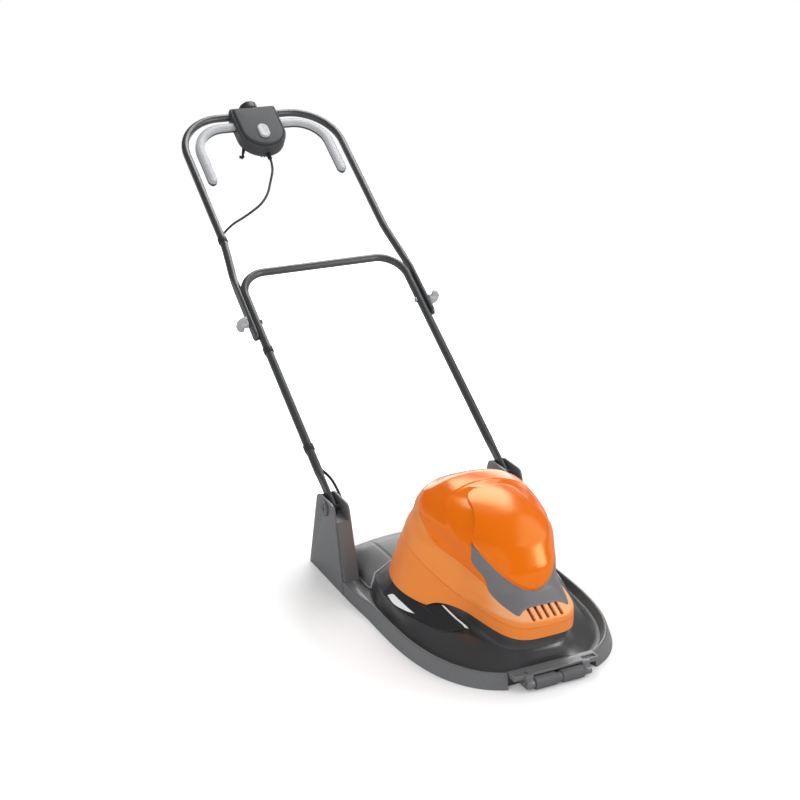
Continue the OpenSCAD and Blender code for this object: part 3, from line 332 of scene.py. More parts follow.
def around(a, reach, height):
    """Points round the rotor axis, in metres in the row frame."""
    reach, height = np.broadcast_to(reach, a.shape), np.broadcast_to(height, a.shape)
    across, along = reach * np.sin(a) * MM, -reach * np.cos(a) * MM
    return np.stack([across + ROTOR.x, along + ROTOR.y, height * MM], axis=1)


def smooth_step(x, from_x, to_x):
    t = np.clip((x - from_x) / (to_x - from_x), 0, 1)
    return t * t * (3 - 2 * t)


DECK_HALF = 219.0
DECK_FRONT = 335.0
DECK_REAR = 330.0
DECK_SQUARE = (2.8, 10.0)
RIM_HEIGHT = 30.0
RIM_DRAFT = 10.0
RIM_TOP = 5.0
RIM_SLOPE = 8.0
TROUGH = 14.0
REAR_LIP = 16.0
REAR_GAP = math.radians(31)
NOTCH_HALF = 92.0
NOTCH_DEEP = 309.0
WALL = 3.0
SHOULDER_UP = 45.0
WAIST_UP = 66.0
CREST = 82.0
INTAKE = 110.0
MOUND_HALF = 182.0
MOUND_FRONT = 270.0
NOSE_HALF = 92.0
NOSE_REACH = 301.0
COWL_FOOT = 168.0
# Where the air intake dips into the flank, in degrees off the nose, and how deep
DIP_FROM = 28.0
DIP_OVER = 76.0
DIP_DEEP = 14.0

# Angles round the rotor axis from the nose, with a close pair at each end of the notch
NOTCH_TURN = math.atan2(NOTCH_HALF, NOTCH_DEEP)
notch_ends = [way * NOTCH_TURN + nudge for way in (1, -1) for nudge in (-0.0008, 0.0008)]
angles = np.sort(np.concatenate([np.radians(np.arange(0, 360, 1.5)), notch_ends]) % (2 * math.pi))
off_nose = np.minimum(angles, 2 * math.pi - angles)
off_degrees = np.degrees(off_nose)


def rim(inset, notch_step):
    """Reach of the deck's outline, brought in by an inset and cut back at the roller's notch."""
    reach = oval(angles, DECK_HALF - inset, DECK_FRONT - inset, DECK_REAR - inset, *DECK_SQUARE)
    cut = (NOTCH_DEEP - notch_step) / np.maximum(np.cos(angles), 0.01)
    return np.where(off_nose < NOTCH_TURN, np.minimum(reach, cut), reach)


def shoulder_at(a):
    """Reach of the mound's shoulder: a round body with the nose drawn out of it."""
    return soft_max(oval(a, MOUND_HALF, MOUND_FRONT, MOUND_HALF, 1.75, 3.0),
                    oval(a, NOSE_HALF + 4, NOSE_REACH - 15, NOSE_HALF, 3.5, 2.0), 24)


def crest_at(a):
    """Reach of the mound's top edge, which stays inside the foot of the cowl."""
    cowl_foot = soft_max(oval(a, COWL_FOOT, COWL_FOOT, COWL_FOOT, 2.0, 2.0),
                         oval(a, NOSE_HALF, NOSE_REACH, NOSE_HALF, 4.0, 2.0), 10)
    return np.minimum(cowl_foot - 12, shoulder_at(a) - 6)


def waist_at(a):
    """The flank of the mound, which dips in at the air intake on each side."""
    off = np.degrees(np.minimum(a, 2 * math.pi - a))
    along = (off - DIP_FROM) / DIP_OVER
    dip = np.where((along > 0) & (along < 1), np.sin(np.pi * along), 0)
    return crest_at(a) + (shoulder_at(a) - crest_at(a)) * 0.35 - DIP_DEEP * dip


shoulder, crest, waist = shoulder_at(angles), crest_at(angles), waist_at(angles)
trough_edge = rim(RIM_DRAFT + RIM_TOP + RIM_SLOPE, 6.5)
spread = 1 - smooth_step(off_degrees, 96, 116)
mound_foot = shoulder + 6 + 0.85 * spread * np.maximum(0, trough_edge - 4 - shoulder - 6)
edge = 26 - 20 * smooth_step(off_degrees, 22, 40)
# In front the flank is a cove under the skirt, which ends in a flat shoulder
COVE_IN = 0.3
COVE_DROP = 17.0
ahead = 1 - smooth_step(off_degrees, 22, 48)
cove = waist - COVE_IN * ahead * (shoulder - crest)
cove_up = WAIST_UP - COVE_DROP * ahead
# Beside the brackets the rim stands upright and flush with their plates
SWELL = 3.7
flush = smooth_step(off_degrees, 97, 119) * (1 - smooth_step(off_degrees, 147, 152))
swell = SWELL * flush / np.maximum(np.abs(np.sin(angles)), 0.3)
at_rear = smooth_step(off_nose, np.pi - REAR_GAP - 0.04, np.pi - REAR_GAP)
rim_top = RIM_HEIGHT + (REAR_LIP - RIM_HEIGHT) * at_rear
to_intake = np.full_like(angles, INTAKE)
hood_top = rounded_profile([
    (rim(0, 0) + swell, 0.0, 0), (rim(1.5 - flush, 0) + swell, 5.0, 4),
    (rim(RIM_DRAFT - (RIM_DRAFT - 1) * flush, 0) + swell, rim_top, 3.5),
    (rim(RIM_DRAFT + RIM_TOP, 4), rim_top, 3.5), (trough_edge, TROUGH, 4),
    (mound_foot, TROUGH, 9), (shoulder, SHOULDER_UP, edge), (cove, cove_up, 14), (crest, CREST, 5),
    (to_intake, CREST, 0)])
hood_under = rounded_profile([
    (to_intake, CREST - WALL, 0), (crest - WALL, CREST - WALL, 5), (cove - WALL, cove_up - 1, 12),
    (shoulder - WALL, SHOULDER_UP - 1, 20), (mound_foot - WALL, TROUGH - WALL, 9),
    (trough_edge, TROUGH - WALL, 3), (rim(5, 4), 0.0, 0)], 3)
hood_mesh = skin([around(angles, r, z) for r, z in hood_top + hood_under], wrap_rows=True)
# The outer face of the rim is painted paler, as a painted sheen
SHEEN_INSET = RIM_DRAFT + RIM_TOP
SHEEN_FADE = 3.0
points = np.array([v.co for v in hood_mesh.vertices])
to_x, to_nose = points[:, 0] - ROTOR.x, ROTOR.y - points[:, 1]
sheen_sizes = [reach - SHEEN_INSET for reach in (DECK_HALF, DECK_FRONT, DECK_REAR)]
at_rim = oval(np.arctan2(to_x, to_nose), *sheen_sizes, *DECK_SQUARE)
sheen_attribute = hood_mesh.attributes.new("painted_sheen", "FLOAT", "POINT")
sheen_attribute.data.foreach_set("value", smooth_step(np.hypot(to_x, to_nose) / MM - at_rim, 0.0, SHEEN_FADE))
DECK_BLACK = moulded_plastic("deck_black_plastic", "#38393b", "#424345", 0.3, 0.05, 1.0, "#646567")
finish_piece("deck_hood", hood_mesh, DECK_BLACK, "deck", ["hood"], 40)


# Cowl skirt: the lower ring of the orange cowl, screwed to the mound by an inside flange.
# Satin orange plastic, painted paler than the cap as a sheen, with a rounded bead along its top edge, where the cap
# plugs into it.
COWL_Z = 80.0
COWL_HEIGHT = 212.0
COWL_WALL = 2.5
# Height shares with the reach of the round body, of its back and of the nose there
BODY = [(0, 1), (0.24, 0.905), (0.4, 0.835), (0.48, 0.81), (0.6, 0.72), (0.726, 0.655), (0.85, 0.56),
        (0.925, 0.43), (0.972, 0.28), (1, 0)]
BACK = [(0, 1), (0.24, 0.905), (0.4, 0.835), (0.48, 0.8), (0.6, 0.7), (0.726, 0.6), (0.85, 0.45),
        (0.925, 0.26), (0.972, 0.13), (1, 0)]
NOSE_SIDE = [(0, 1), (0.16, 1), (0.24, 0.96), (0.344, 1), (0.505, 1.09), (0.707, 1.2), (0.8, 1.13),
             (0.873, 1), (0.925, 0.8), (0.972, 0.5), (1, 0)]
NOSE_FRONT = [(0, 1), (0.16, 1.005), (0.19, 0.98), (0.24, 0.907), (0.344, 0.814), (0.505, 0.784),
              (0.6, 0.744), (0.707, 0.69), (0.8, 0.6), (0.873, 0.5), (0.925, 0.39), (0.972, 0.25), (1, 0)]
NOSE_POWER = [(0, 4), (0.16, 4), (0.344, 3), (0.707, 2.4), (1, 2)]
# Degrees off the nose with the height share of the bead between skirt and cap
BEAD = [(0, 0.12), (30, 0.12), (40, 0.15), (48, 0.2), (62, 0.28), (80, 0.35), (96, 0.385), (180, 0.39)]


def through(x, pairs):
    """A smooth curve through given pairs, which never overshoots them."""
    px, py = np.array(pairs, float).T
    run = np.diff(px)
    slope = np.diff(py) / run
    before, after = slope[:-1], slope[1:]
    inner = np.where(before * after > 0, 2 * before * after / (before + after + 1e-12), 0)
    lean = np.concatenate([[slope[0]], inner, [slope[-1]]])
    i = np.clip(np.searchsorted(px, x) - 1, 0, len(run) - 1)
    s = np.clip((x - px[i]) / run[i], 0, 1)
    return ((1 + 2 * s) * (1 - s) ** 2 * py[i] + s * (1 - s) ** 2 * run[i] * lean[i]
            + s * s * (3 - 2 * s) * py[i + 1] + s * s * (s - 1) * run[i] * lean[i + 1])


def at_height(t, pairs):
    """Shares over the height, drawn over the root of the way down from the top so the dome closes round."""
    return through(np.sqrt(np.clip(1 - t, 0, 1)), [(math.sqrt(1 - h), v) for h, v in reversed(pairs)])


def cowl_reach(a, t):
    """Reach of the plain cowl at an angle and a height share: a round body with the nose drawn out of it."""
    body = COWL_FOOT * at_height(t, BODY)
    back = COWL_FOOT * at_height(t, BACK)
    side = NOSE_HALF * at_height(t, NOSE_SIDE)
    front = NOSE_REACH * at_height(t, NOSE_FRONT)
    tip = 1e-3
    return soft_max(oval(a, body + tip, body + tip, back + tip, 2.0, 2.0),
                    oval(a, side + tip, front + tip, side * (back + tip) / (body + tip) + tip,
                         at_height(t, NOSE_POWER), 2.0), 10)


def height_share(z):
    return (z - COWL_Z) / COWL_HEIGHT


def cowl_row(t, out=0.0, up=0.0):
    """One ring of the cowl at a height share, or a share for each angle, moved out and up by millimetres."""
    t = np.broadcast_to(t, cowl_angles.shape)
    reach = np.maximum(cowl_reach(cowl_angles, t) + out, 0.05)
    return around(cowl_angles, reach, COWL_Z + COWL_HEIGHT * t + up)


front_half = np.linspace(0, 64, 150, endpoint=False)
back_half = np.linspace(64, 180, 60)
half = np.radians(np.concatenate([front_half, back_half]))
cowl_angles = np.concatenate([half, (2 * np.pi - half[1:-1])[::-1]])
cowl_degrees = np.degrees(np.minimum(cowl_angles, 2 * np.pi - cowl_angles))
bead = through(cowl_degrees, BEAD)
# Degrees off the nose with the height of the skirt's lower edge, which arches over the air intake
SKIRT_EDGE = [(0, 80), (28, 80), (36, 82), (42, 84.4), (47, 85.4), (52, 84), (56, 80.5), (59, 75.4),
              (60.6, 73.4), (75, 75), (100, 77), (130, 80), (180, 80)]
FOOT_ROUND = 0.004
BEAD_OUT = 1.3
BEAD_ROUND = 2.2
FLANGE = 24.0
FLANGE_THICK = 3.0
foot_z = through(cowl_degrees, SKIRT_EDGE)
skirt_foot = height_share(foot_z)
skirt_from = skirt_foot + FOOT_ROUND
skirt_rows = [cowl_row(skirt_foot, BEAD_OUT - 1.0)]
skirt_rows += [cowl_row(skirt_from + (bead - skirt_from) * v, BEAD_OUT) for v in np.linspace(0, 0.97, 24)]
for v in np.linspace(0, math.pi / 2, 6):
    rolled = BEAD_ROUND * (1 - math.cos(v))
    skirt_rows.append(cowl_row(bead - BEAD_ROUND / COWL_HEIGHT * (1 - math.sin(v)), BEAD_OUT - rolled))
skirt_rows += [cowl_row(bead * v, -COWL_WALL) for v in (0.98, 0.6, 0.3)]
flange_z = np.maximum(CREST, foot_z + 0.6)
flange_top = flange_z + FLANGE_THICK
foot_reach = cowl_reach(cowl_angles, np.zeros_like(cowl_angles))
skirt_rows += [cowl_row(height_share(flange_top), -COWL_WALL)]
for inset, z in ((FLANGE, flange_top), (FLANGE, flange_z), (COWL_WALL, flange_z), (COWL_WALL, foot_z)):
    skirt_rows.append(around(cowl_angles, foot_reach - inset, z))
WARM_SHINE = (1, 0.9, 0.36, 1)


def glossy_plastic(name, colour, deep, roughness, shine, satin=None, pale_reflection=None, gloss=0.5):
    """Polished plastic with a slight orange peel; satin where the mesh says band, with a paler colour painted there
    as a sheen, and a paler colour painted as a reflection where it says ledge.
    """
    material, paint, where = blank(name)
    band = paint.node("ShaderNodeAttribute", {"attribute_name": "band"}, {}, 2)
    ledge = paint.node("ShaderNodeAttribute", {"attribute_name": "ledge"}, {}, 2)
    peel = where.noise(scale=160.0, detail=2.0)
    clouds = where.noise(scale=7.0, detail=3.0)
    dust = where.noise(scale=2600.0, detail=1.0)
    plain = ((clouds - 0.3) * 1.4).clamped().mixed(srgb(colour), srgb(deep))
    return surfaced(material, paint, {
        # Paler colours: a painted sheen on the band and a painted reflection on the ledge
        "Base Color": ledge.mixed(band.mixed(plain, srgb(satin or colour)), srgb(pale_reflection or colour)),
        "Roughness": (clouds - 0.5) * 0.08 + (dust - 0.5) * 0.06 + band * 0.16 + roughness,
        "Specular IOR Level": gloss,
        "Specular Tint": shine,
    }, height=peel + dust * 0.1, strength=0.05, depth=0.6 * MM)


# The skirt's orange is painted paler than the cap's, as a painted sheen over its satin finish
SKIRT_ORANGE = glossy_plastic("skirt_orange_plastic", "#e8853d", "#e57c33", 0.36, WARM_SHINE)
skirt_mesh = skin(skirt_rows, wrap_rows=True)
finish_piece("cowl_lower_ring", skirt_mesh, SKIRT_ORANGE, "deck", ["cowl_skirt"])

# Cowl cap: the orange dome with its raised visor, a scoop on each side, and a shut line across the flanks.
# Glossy orange plastic, satin below that line with a paler colour painted there as a sheen, plugged into the skirt;
# its ledge has five vents and is painted paler as a reflection.
# Degrees off the nose with the height share of the shut line
SHUT_LINE = [(0, 0.25), (16, 0.29), (24, 0.358), (37, 0.431), (62, 0.526), (78, 0.614), (90, 0.685),
             (102, 0.784), (117, 0.836), (140, 0.87), (180, 0.89)]
# Height shares with the degrees off the nose of the visor's edge and of the ridge outside the scoop
VISOR_EDGE = [(0.34, 0), (0.355, 3), (0.415, 9), (0.5, 15), (0.605, 22.4), (0.68, 28.8), (0.72, 29.3),
              (0.778, 28.7), (0.85, 28.1), (0.906, 30.2), (0.953, 37.3), (0.975, 30), (0.985, 0), (1, 0)]
RIDGE = [(0.34, 29), (0.6, 30.5), (0.637, 33.8), (0.755, 46), (0.839, 55), (0.888, 61), (0.927, 62),
         (0.954, 56.3), (0.975, 46), (0.984, 20), (0.9855, 0), (1, 0)]
# The ridge over the top: millimetres off the middle with its place along the mower
CROWN_LINE = [(0, -33), (14, -32.5), (35, -33.5), (53, -36), (71, -39), (84, -46), (110, -62)]
CROWN_UP = 1.6
VISOR_OUT = 2.8
SCOOP_DEEP = 8.0
SCOOP_DOWN = 2.4
RIDGE_OUT = 1.4
CAP_OUT = 1.6
GROOVE_DEEP = 0.9


def cap_relief(t):
    """How far the cap stands out of and above its plain dome at a height share, for every angle round it."""
    edge = through(t, VISOR_EDGE)
    ridge = np.maximum(through(t, RIDGE), edge + 1)
    across = (cowl_degrees - edge) / (ridge - edge)
    high = smooth_step(t, 0.6, 0.74) * (1 - 0.8 * smooth_step(t, 0.93, 0.975))
    high = high * (1 - smooth_step(t, 0.975, 0.988))
    scoop = np.where((across >= 0) & (across < 1), 0.5 + 0.5 * np.cos(np.pi * np.clip(across, 0, 1)), 0)
    visor = (1 - smooth_step(cowl_degrees, edge - 0.7, edge + 0.2)) * smooth_step(t, 0.338, 0.346)
    shut_line = through(cowl_degrees, SHUT_LINE)
    lifted = smooth_step(t, shut_line, shut_line + 0.012)
    groove = np.exp(-((t - shut_line + 0.001) / 0.004) ** 2)
    reach = cowl_reach(cowl_angles, t)
    beside, behind = reach * np.abs(np.sin(cowl_angles)), -reach * np.cos(cowl_angles)
    crown = smooth_step(behind - through(beside, CROWN_LINE), -1.6, 0.6) * smooth_step(t, 0.9, 0.945)
    sunk = scoop * smooth_step(t, 0.86, 0.93) * (1 - smooth_step(t, 0.965, 0.985))
    out = (CAP_OUT * lifted - GROOVE_DEEP * groove - SCOOP_DEEP * high * scoop
           + RIDGE_OUT * np.sqrt(high) * np.exp(-((across - 1) / np.where(across < 1, 0.1, 0.22)) ** 2)
           + VISOR_OUT * visor * (1 - smooth_step(t, 0.92, 0.975)))
    return out, CROWN_UP * crown - SCOOP_DOWN * sunk


CAP_ROWS = 165
LAP_ROOM = 0.4
INNER_DROP = 6.0
lap = bead - 0.02
cap_rows = [cowl_row(lap, -COWL_WALL - LAP_ROOM)]
top_root = np.sqrt(1 - (bead - 0.004))
for v in np.linspace(0, 1, CAP_ROWS):
    t = 1 - (top_root * (1 - v)) ** 2
    cap_rows.append(cowl_row(t, *cap_relief(t)) if v < 1 else cowl_row(t, 0, CROWN_UP))
for v in np.linspace(0.03, 1, 12):
    inward = COWL_WALL + SCOOP_DEEP * math.sin(math.pi * v) * 0.9
    share = 1 - (top_root * v) ** 2 * 0.999 - 0.001 * v
    cap_rows.append(cowl_row(share, -inward, -INNER_DROP * (1 - v) ** 2))
cap_rows.append(cowl_row(lap, -2 * COWL_WALL))
VENT_ACROSS = (-30.0, -15.0, 0.0, 15.0, 30.0)
VENT_TOP = Vector((0, -273.0, 132.0))
VENT_LOW = Vector((0, -296.0, 119.5))
VENT_RADIUS = 3.7
VENT_CUT = 9.0
vent_along = (VENT_LOW - VENT_TOP).normalized()
vent_out = vent_along.cross(Vector((-1, 0, 0)))


def vent_ring(across, depth):
    """The long outline of one vent slot, at a depth through the ledge."""
    ring = []
    for turn in np.linspace(0, 2 * np.pi, 24, endpoint=False):
        end = VENT_LOW if math.sin(turn) > 0 else VENT_TOP
        point = (end + vent_out * depth + vent_along * VENT_RADIUS * math.sin(turn)
                 + Vector((across + VENT_RADIUS * math.cos(turn), 0, 0)))
        ring.append(point * MM + ROTOR)
    return ring


def joined(*meshes):
    """One mesh of several."""
    work = bmesh.new()
    for part in meshes:
        work.from_mesh(part)
    out = bpy.data.meshes.new("joined")
    work.to_mesh(out)
    work.free()
    return out


def applied(holder):
    """The mesh of an object with its modifiers applied; the object itself goes."""
    out = bpy.data.meshes.new_from_object(holder.evaluated_get(bpy.context.evaluated_depsgraph_get()))
    holder.modifiers.clear()
    bpy.data.objects.remove(holder)
    return out


def held(mesh):
    """An object that holds a mesh while modifiers work on it."""
    holder = bpy.data.objects.new(mesh.name, mesh)
    scene.collection.objects.link(holder)
    return holder


def cut_away(mesh, *cutters):
    """The mesh with closed cutters taken out of it."""
    tool, stock = held(joined(*cutters)), held(mesh)
    change = stock.modifiers.new("cut", "BOOLEAN")
    change.operation = "DIFFERENCE"
    change.object = tool
    change.solver = "EXACT"
    out = applied(stock)
    bpy.data.objects.remove(tool)
    return out


# Its satin colour is a painted sheen, and its pale colour a painted reflection on the ledge
CAP_ORANGE = glossy_plastic("cap_orange_gloss", "#e86d02", "#e36500", 0.22, WARM_SHINE,
                            satin="#ea8740", pale_reflection="#f0ac7c", gloss=0.9)
vents = []
for across in VENT_ACROSS:
    vents.append(skin([vent_ring(across, -VENT_CUT), vent_ring(across, VENT_CUT)], cap_ends=True))
dome = cut_away(skin(cap_rows, wrap_rows=True), *vents)
# The band below the shut line, painted paler as a sheen, and the ledge of the nose, painted paler as a reflection
spots = (np.array([v.co for v in dome.vertices]) - np.array(ROTOR)) / MM
spot_degrees = np.degrees(np.abs(np.arctan2(spots[:, 0], -spots[:, 1])))
spot_share = height_share(spots[:, 2])
spot_line = through(spot_degrees, SHUT_LINE)
below = 1 - smooth_step(spot_share, spot_line - 0.003, spot_line + 0.003)
ledge_reflection_mask = smooth_step(spot_share, 0.165, 0.185) * (1 - smooth_step(spot_share, 0.27, 0.31))
ledge_reflection_mask *= 1 - smooth_step(spot_degrees, 15, 24)
for label, shares in (("band", below), ("ledge", ledge_reflection_mask)):
    dome.attributes.new(label, "FLOAT", "POINT").data.foreach_set("value", shares)
finish_piece("cowl_dome", dome, CAP_ORANGE, "deck", ["cowl_cap"], 30)

# Vent shade plate: a painted shade behind the vent slots, standing for the shaded orange inside them.
# Dark red-brown plastic, curved as the ledge is, which shows through the slots.
SHADE_PLATE_BACK = 7.0
SHADE_PLATE_DOWN = 3.0
SHADE_PLATE_THICK = 1.5
shade_plate_turn = np.radians(np.linspace(-11, 11, 25)) % (2 * np.pi)
shade_plate_rows = []
for share in np.linspace(0.17, 0.34, 14):
    reach = cowl_reach(shade_plate_turn, np.full_like(shade_plate_turn, share)) - SHADE_PLATE_BACK
    z = COWL_Z + COWL_HEIGHT * share - SHADE_PLATE_DOWN
    rear = around(shade_plate_turn, reach - SHADE_PLATE_THICK, z - 1)
    shade_plate_rows.append(np.concatenate([around(shade_plate_turn, reach, z), rear[::-1]]))
# Dark red-brown painted shade
SHADE_PLATE_RED = moulded_plastic("vent_painted_shade", "#a2411c", "#8d3716", 0.5, 0.1)
finish_piece("vent_shade_plate", skin(shade_plate_rows, cap_ends=True), SHADE_PLATE_RED, "deck", (), 40)

# Cowl trim: the dark V that runs under the visor and up both of its sides, down to a notch over the vents.
# Satin grey plastic, clipped on to the cap with its edges rolled over.
TRIM_HALF = 30.0
TRIM_OUT = 2.6
# Shares of the half width with the height shares of the trim's lower and upper edge
TRIM_LOW = [(0, 0.243), (0.2, 0.24), (0.3, 0.222), (0.36, 0.204), (0.45, 0.222), (0.56, 0.25), (0.68, 0.3),
            (0.73, 0.375), (0.8, 0.42), (0.96, 0.49), (1, 0.53)]
TRIM_HIGH = [(0, 0.338), (0.1, 0.348), (0.3, 0.408), (0.5, 0.493), (0.75, 0.598), (1, 0.682)]
trim_rows = []
for u in np.linspace(-1, 1, 141):
    turn = math.radians(TRIM_HALF * u) % (2 * math.pi)
    foot, head = float(through(abs(u), TRIM_LOW)), float(through(abs(u), TRIM_HIGH))
    across = np.linspace(-1, 1, 21)
    t = foot + (head - foot) * (across + 1) / 2
    a = np.full_like(t, turn)
    face = cowl_reach(a, t) + TRIM_OUT * (1 - np.abs(across) ** 10) * min(1, (1.001 - abs(u)) * 40 + 0.2)
    rear = cowl_reach(a, t) - 1.0
    trim_rows.append(np.concatenate([around(a, face, COWL_Z + COWL_HEIGHT * t),
                                     around(a, rear, COWL_Z + COWL_HEIGHT * t)[::-1]]))
TRIM_GREY = moulded_plastic("trim_grey_plastic", "#6b6a6c", "#757476", 0.4, 0.06)
trim_mesh = skin(trim_rows, cap_ends=True)
finish_piece("cowl_v_trim", trim_mesh, TRIM_GREY, "deck", ["cowl_trim"], 50)

# Intake guards: a dark plate over the dip in each flank of the mound, behind which the fan draws its air.
# Smooth black plastic with one rib across it; a white lens on it is a painted highlight, and a white slit runs in
# front of it.
GUARD_BLACK = glossy_plastic("guard_black_plastic", "#2a2b2d", "#323335", 0.26, (1, 1, 1, 1))
# White plastic of the terminal block, also used for the intake slits and for the painted highlight of each intake
# lens
WHITE_AND_HIGHLIGHT = moulded_plastic("white_plastic_and_highlight", "#e9e9e6", "#f4f4f1", 0.4, 0.05)
GUARD_REAR = 104.0
GUARD_LOW = 45.4
GUARD_HIGH = 79.4
# Heights on the flank with the degrees off the nose where the guard ends there
GUARD_END = [(45, 44), (50, 38.5), (58, 32.6), (67, 40.5), (76, 48.8), (80, 52.4)]
GUARD_OUT = 1.5
# Degrees off the nose with the lower and the upper edge of the white lens, a painted highlight
LENS_LOW = [(66.5, 52.4), (74, 49.5), (87, 46.9), (97.5, 49.4)]
LENS_HIGH = [(66.5, 52.6), (73, 55), (83, 57.6), (91.5, 58.5), (94, 57), (97.5, 49.8)]
LENS_SPAN = (66.6, 97.4)
# Where the rib starts and how far it runs, in degrees off the nose and millimetres of height
RIB_FROM = np.array((65.0, 70.0))
RIB_RUN = np.array((-14.5, -9.5))
RIB_HIGH = 1.3
# The slit runs between two heights; its section is in degrees ahead of the guard and millimetres off it
SLIT_SPAN = (58.6, 77.5)
SLIT_SECTION = ((0.2, -1.2), (0.2, 1.2), (0.5, 1.7), (2.1, 1.7), (2.5, 1.2), (2.5, -1.2))


def on_flank(way, degrees, height, off):
    """Points on one straight flank of the mound, at degrees off the nose and heights, standing off it."""
    a = np.radians(degrees)
    wide, slope, rise = shoulder_at(a), shoulder_at(a) - crest_at(a), CREST - SHOULDER_UP
    lean = np.hypot(slope, rise)
    reach = wide - slope * (height - SHOULDER_UP) / rise + off * rise / lean
    return around(a * way, reach, height + off * slope / lean)


for side, way in (("left", -1), ("right", 1)):
    guard_rows = []
    height = GUARD_LOW + (GUARD_HIGH - GUARD_LOW) * np.linspace(0, 1, 34)
    for u in np.linspace(0, 1, 90):
        degrees = GUARD_REAR + (through(height, GUARD_END) - GUARD_REAR) * u
        to_edge = np.minimum(height - GUARD_LOW, GUARD_HIGH - height) * 0.7
        rolled = np.clip(np.minimum(min(u, 1 - u) * 30, to_edge), 0, 1)
        ahead, over = degrees - RIB_FROM[0], height - RIB_FROM[1]
        beside = (ahead * RIB_RUN[1] - over * RIB_RUN[0]) / np.linalg.norm(RIB_RUN)
        run = (ahead * RIB_RUN[0] + over * RIB_RUN[1]) / (RIB_RUN @ RIB_RUN)
        faded = smooth_step(run, -0.1, 0.1) * (1 - smooth_step(run, 0.8, 1.1))
        rib = RIB_HIGH * np.clip(1 - np.abs(beside) / 0.9, 0, 1) * faded
        face = on_flank(way, degrees, height, GUARD_OUT * np.sqrt(1 - (1 - rolled) ** 2) + rib)
        rear = on_flank(way, degrees, height, np.full_like(height, -0.8))
        guard_rows.append(np.concatenate([face, rear[::-1]]))
    finish_piece("intake_plate_" + side, skin(guard_rows, cap_ends=True), GUARD_BLACK, "deck",
                 ["intake_guard_" + side], 30)
    slit_rows = []
    for z in np.linspace(*SLIT_SPAN, 20):
        end = float(through(z, GUARD_END))
        strip = [on_flank(way, np.array([end - d]), np.array([z]), off)[0] for d, off in SLIT_SECTION]
        slit_rows.append(strip)
    # The lens: white standing proud of the plate, a painted highlight
    lens_rows = []
    for degrees in np.linspace(*LENS_SPAN, 44):
        low, high = (float(through(degrees, edge_line)) for edge_line in (LENS_LOW, LENS_HIGH))
        z = low + (high - low) * np.linspace(0, 1, 9)
        d = np.full_like(z, degrees)
        face = on_flank(way, d, z, GUARD_OUT + 0.5 * np.sin(np.linspace(0, np.pi, 9)) ** 0.5)
        lens_rows.append(np.concatenate([face, on_flank(way, d, z, np.full_like(z, 0.6))[::-1]]))
    highlight_and_slit = joined(skin(slit_rows, cap_ends=True), skin(lens_rows, cap_ends=True))
    finish_piece("intake_highlight_and_slit_" + side, highlight_and_slit, WHITE_AND_HIGHLIGHT, "deck", (), 40)

# Rear cover: the hump behind the cowl that shuts in the wiring, with a shut line along each flank and a lip.
# Satin black plastic, painted a lighter grey as a sheen, clipped over the deck and fitted round the foot of the
# mound; the lip is a bead painted pale as a highlight.
COVER_HALF = 172.0
COVER_FRONT = 120.0
COVER_END = 299.0
COVER_HIGH = 58.0
COVER_SQUARE = 2.6
# Shares of its length with the shares of its height and of its width
COVER_LINE = [(0, 0.97), (0.3, 1), (0.55, 0.95), (0.75, 0.8), (0.9, 0.52), (1, 0.2)]
COVER_WIDE = [(0, 1), (0.55, 1), (0.9, 0.98), (1, 0.97)]
SHUT_X = 0.66
SHUT_DEEP = 1.5
LIP_ROUND = 2.3
LIP_SUNK = 0.4
LIP_BACK = np.arange(132, 262, 6.0)
arch = np.linspace(-np.pi / 2, np.pi / 2, 161)
arch_x = np.sign(np.sin(arch)) * np.abs(np.sin(arch)) ** (2 / COVER_SQUARE)
arch_z = np.abs(np.cos(arch)) ** (2 / COVER_SQUARE)
shut = SHUT_DEEP * np.exp(-((np.abs(arch_x) - SHUT_X) / 0.012) ** 2)


def cover_at(u):
    """Half width and height of the cover at a share of its length."""
    return COVER_HALF * float(through(u, COVER_WIDE)), COVER_HIGH * float(through(u, COVER_LINE))


cover_rows = []
for u in np.linspace(0, 1, 60):
    wide, high = cover_at(u)
    y = COVER_FRONT + (COVER_END - COVER_FRONT) * u
    ring = [(x * (wide - g), y, TROUGH + z * (high - g)) for x, z, g in zip(arch_x, arch_z, shut)]
    ring += [(x * (wide - WALL), y, TROUGH + z * (high - WALL)) for x, z in zip(arch_x[::-1], arch_z[::-1])]
    cover_rows.append(np.array(ring) * MM + np.array(ROTOR))
# The mound as the cover sees it, a little larger, with the cowl's foot over it
MOUND_ROOM = 2.0
under_cowl = np.maximum(waist, COWL_FOOT) + MOUND_ROOM + 0.4
mound_line = [(5.0, mound_foot + MOUND_ROOM), (TROUGH, mound_foot + MOUND_ROOM),
              (SHOULDER_UP, shoulder + MOUND_ROOM), (WAIST_UP, waist + MOUND_ROOM),
              (77.0, under_cowl), (140.0, under_cowl)]
mound_form = skin([around(angles, reach, z) for z, reach in mound_line], cap_ends=True)
cover_mesh = cut_away(skin(cover_rows, cap_ends=True), mound_form)


def mound_reach(a, height):
    """Reach of the cut round the mound at an angle and a height."""
    heights, rings = zip(*mound_line)
    return np.interp(height, heights, [np.interp(a, angles, reach) for reach in rings])


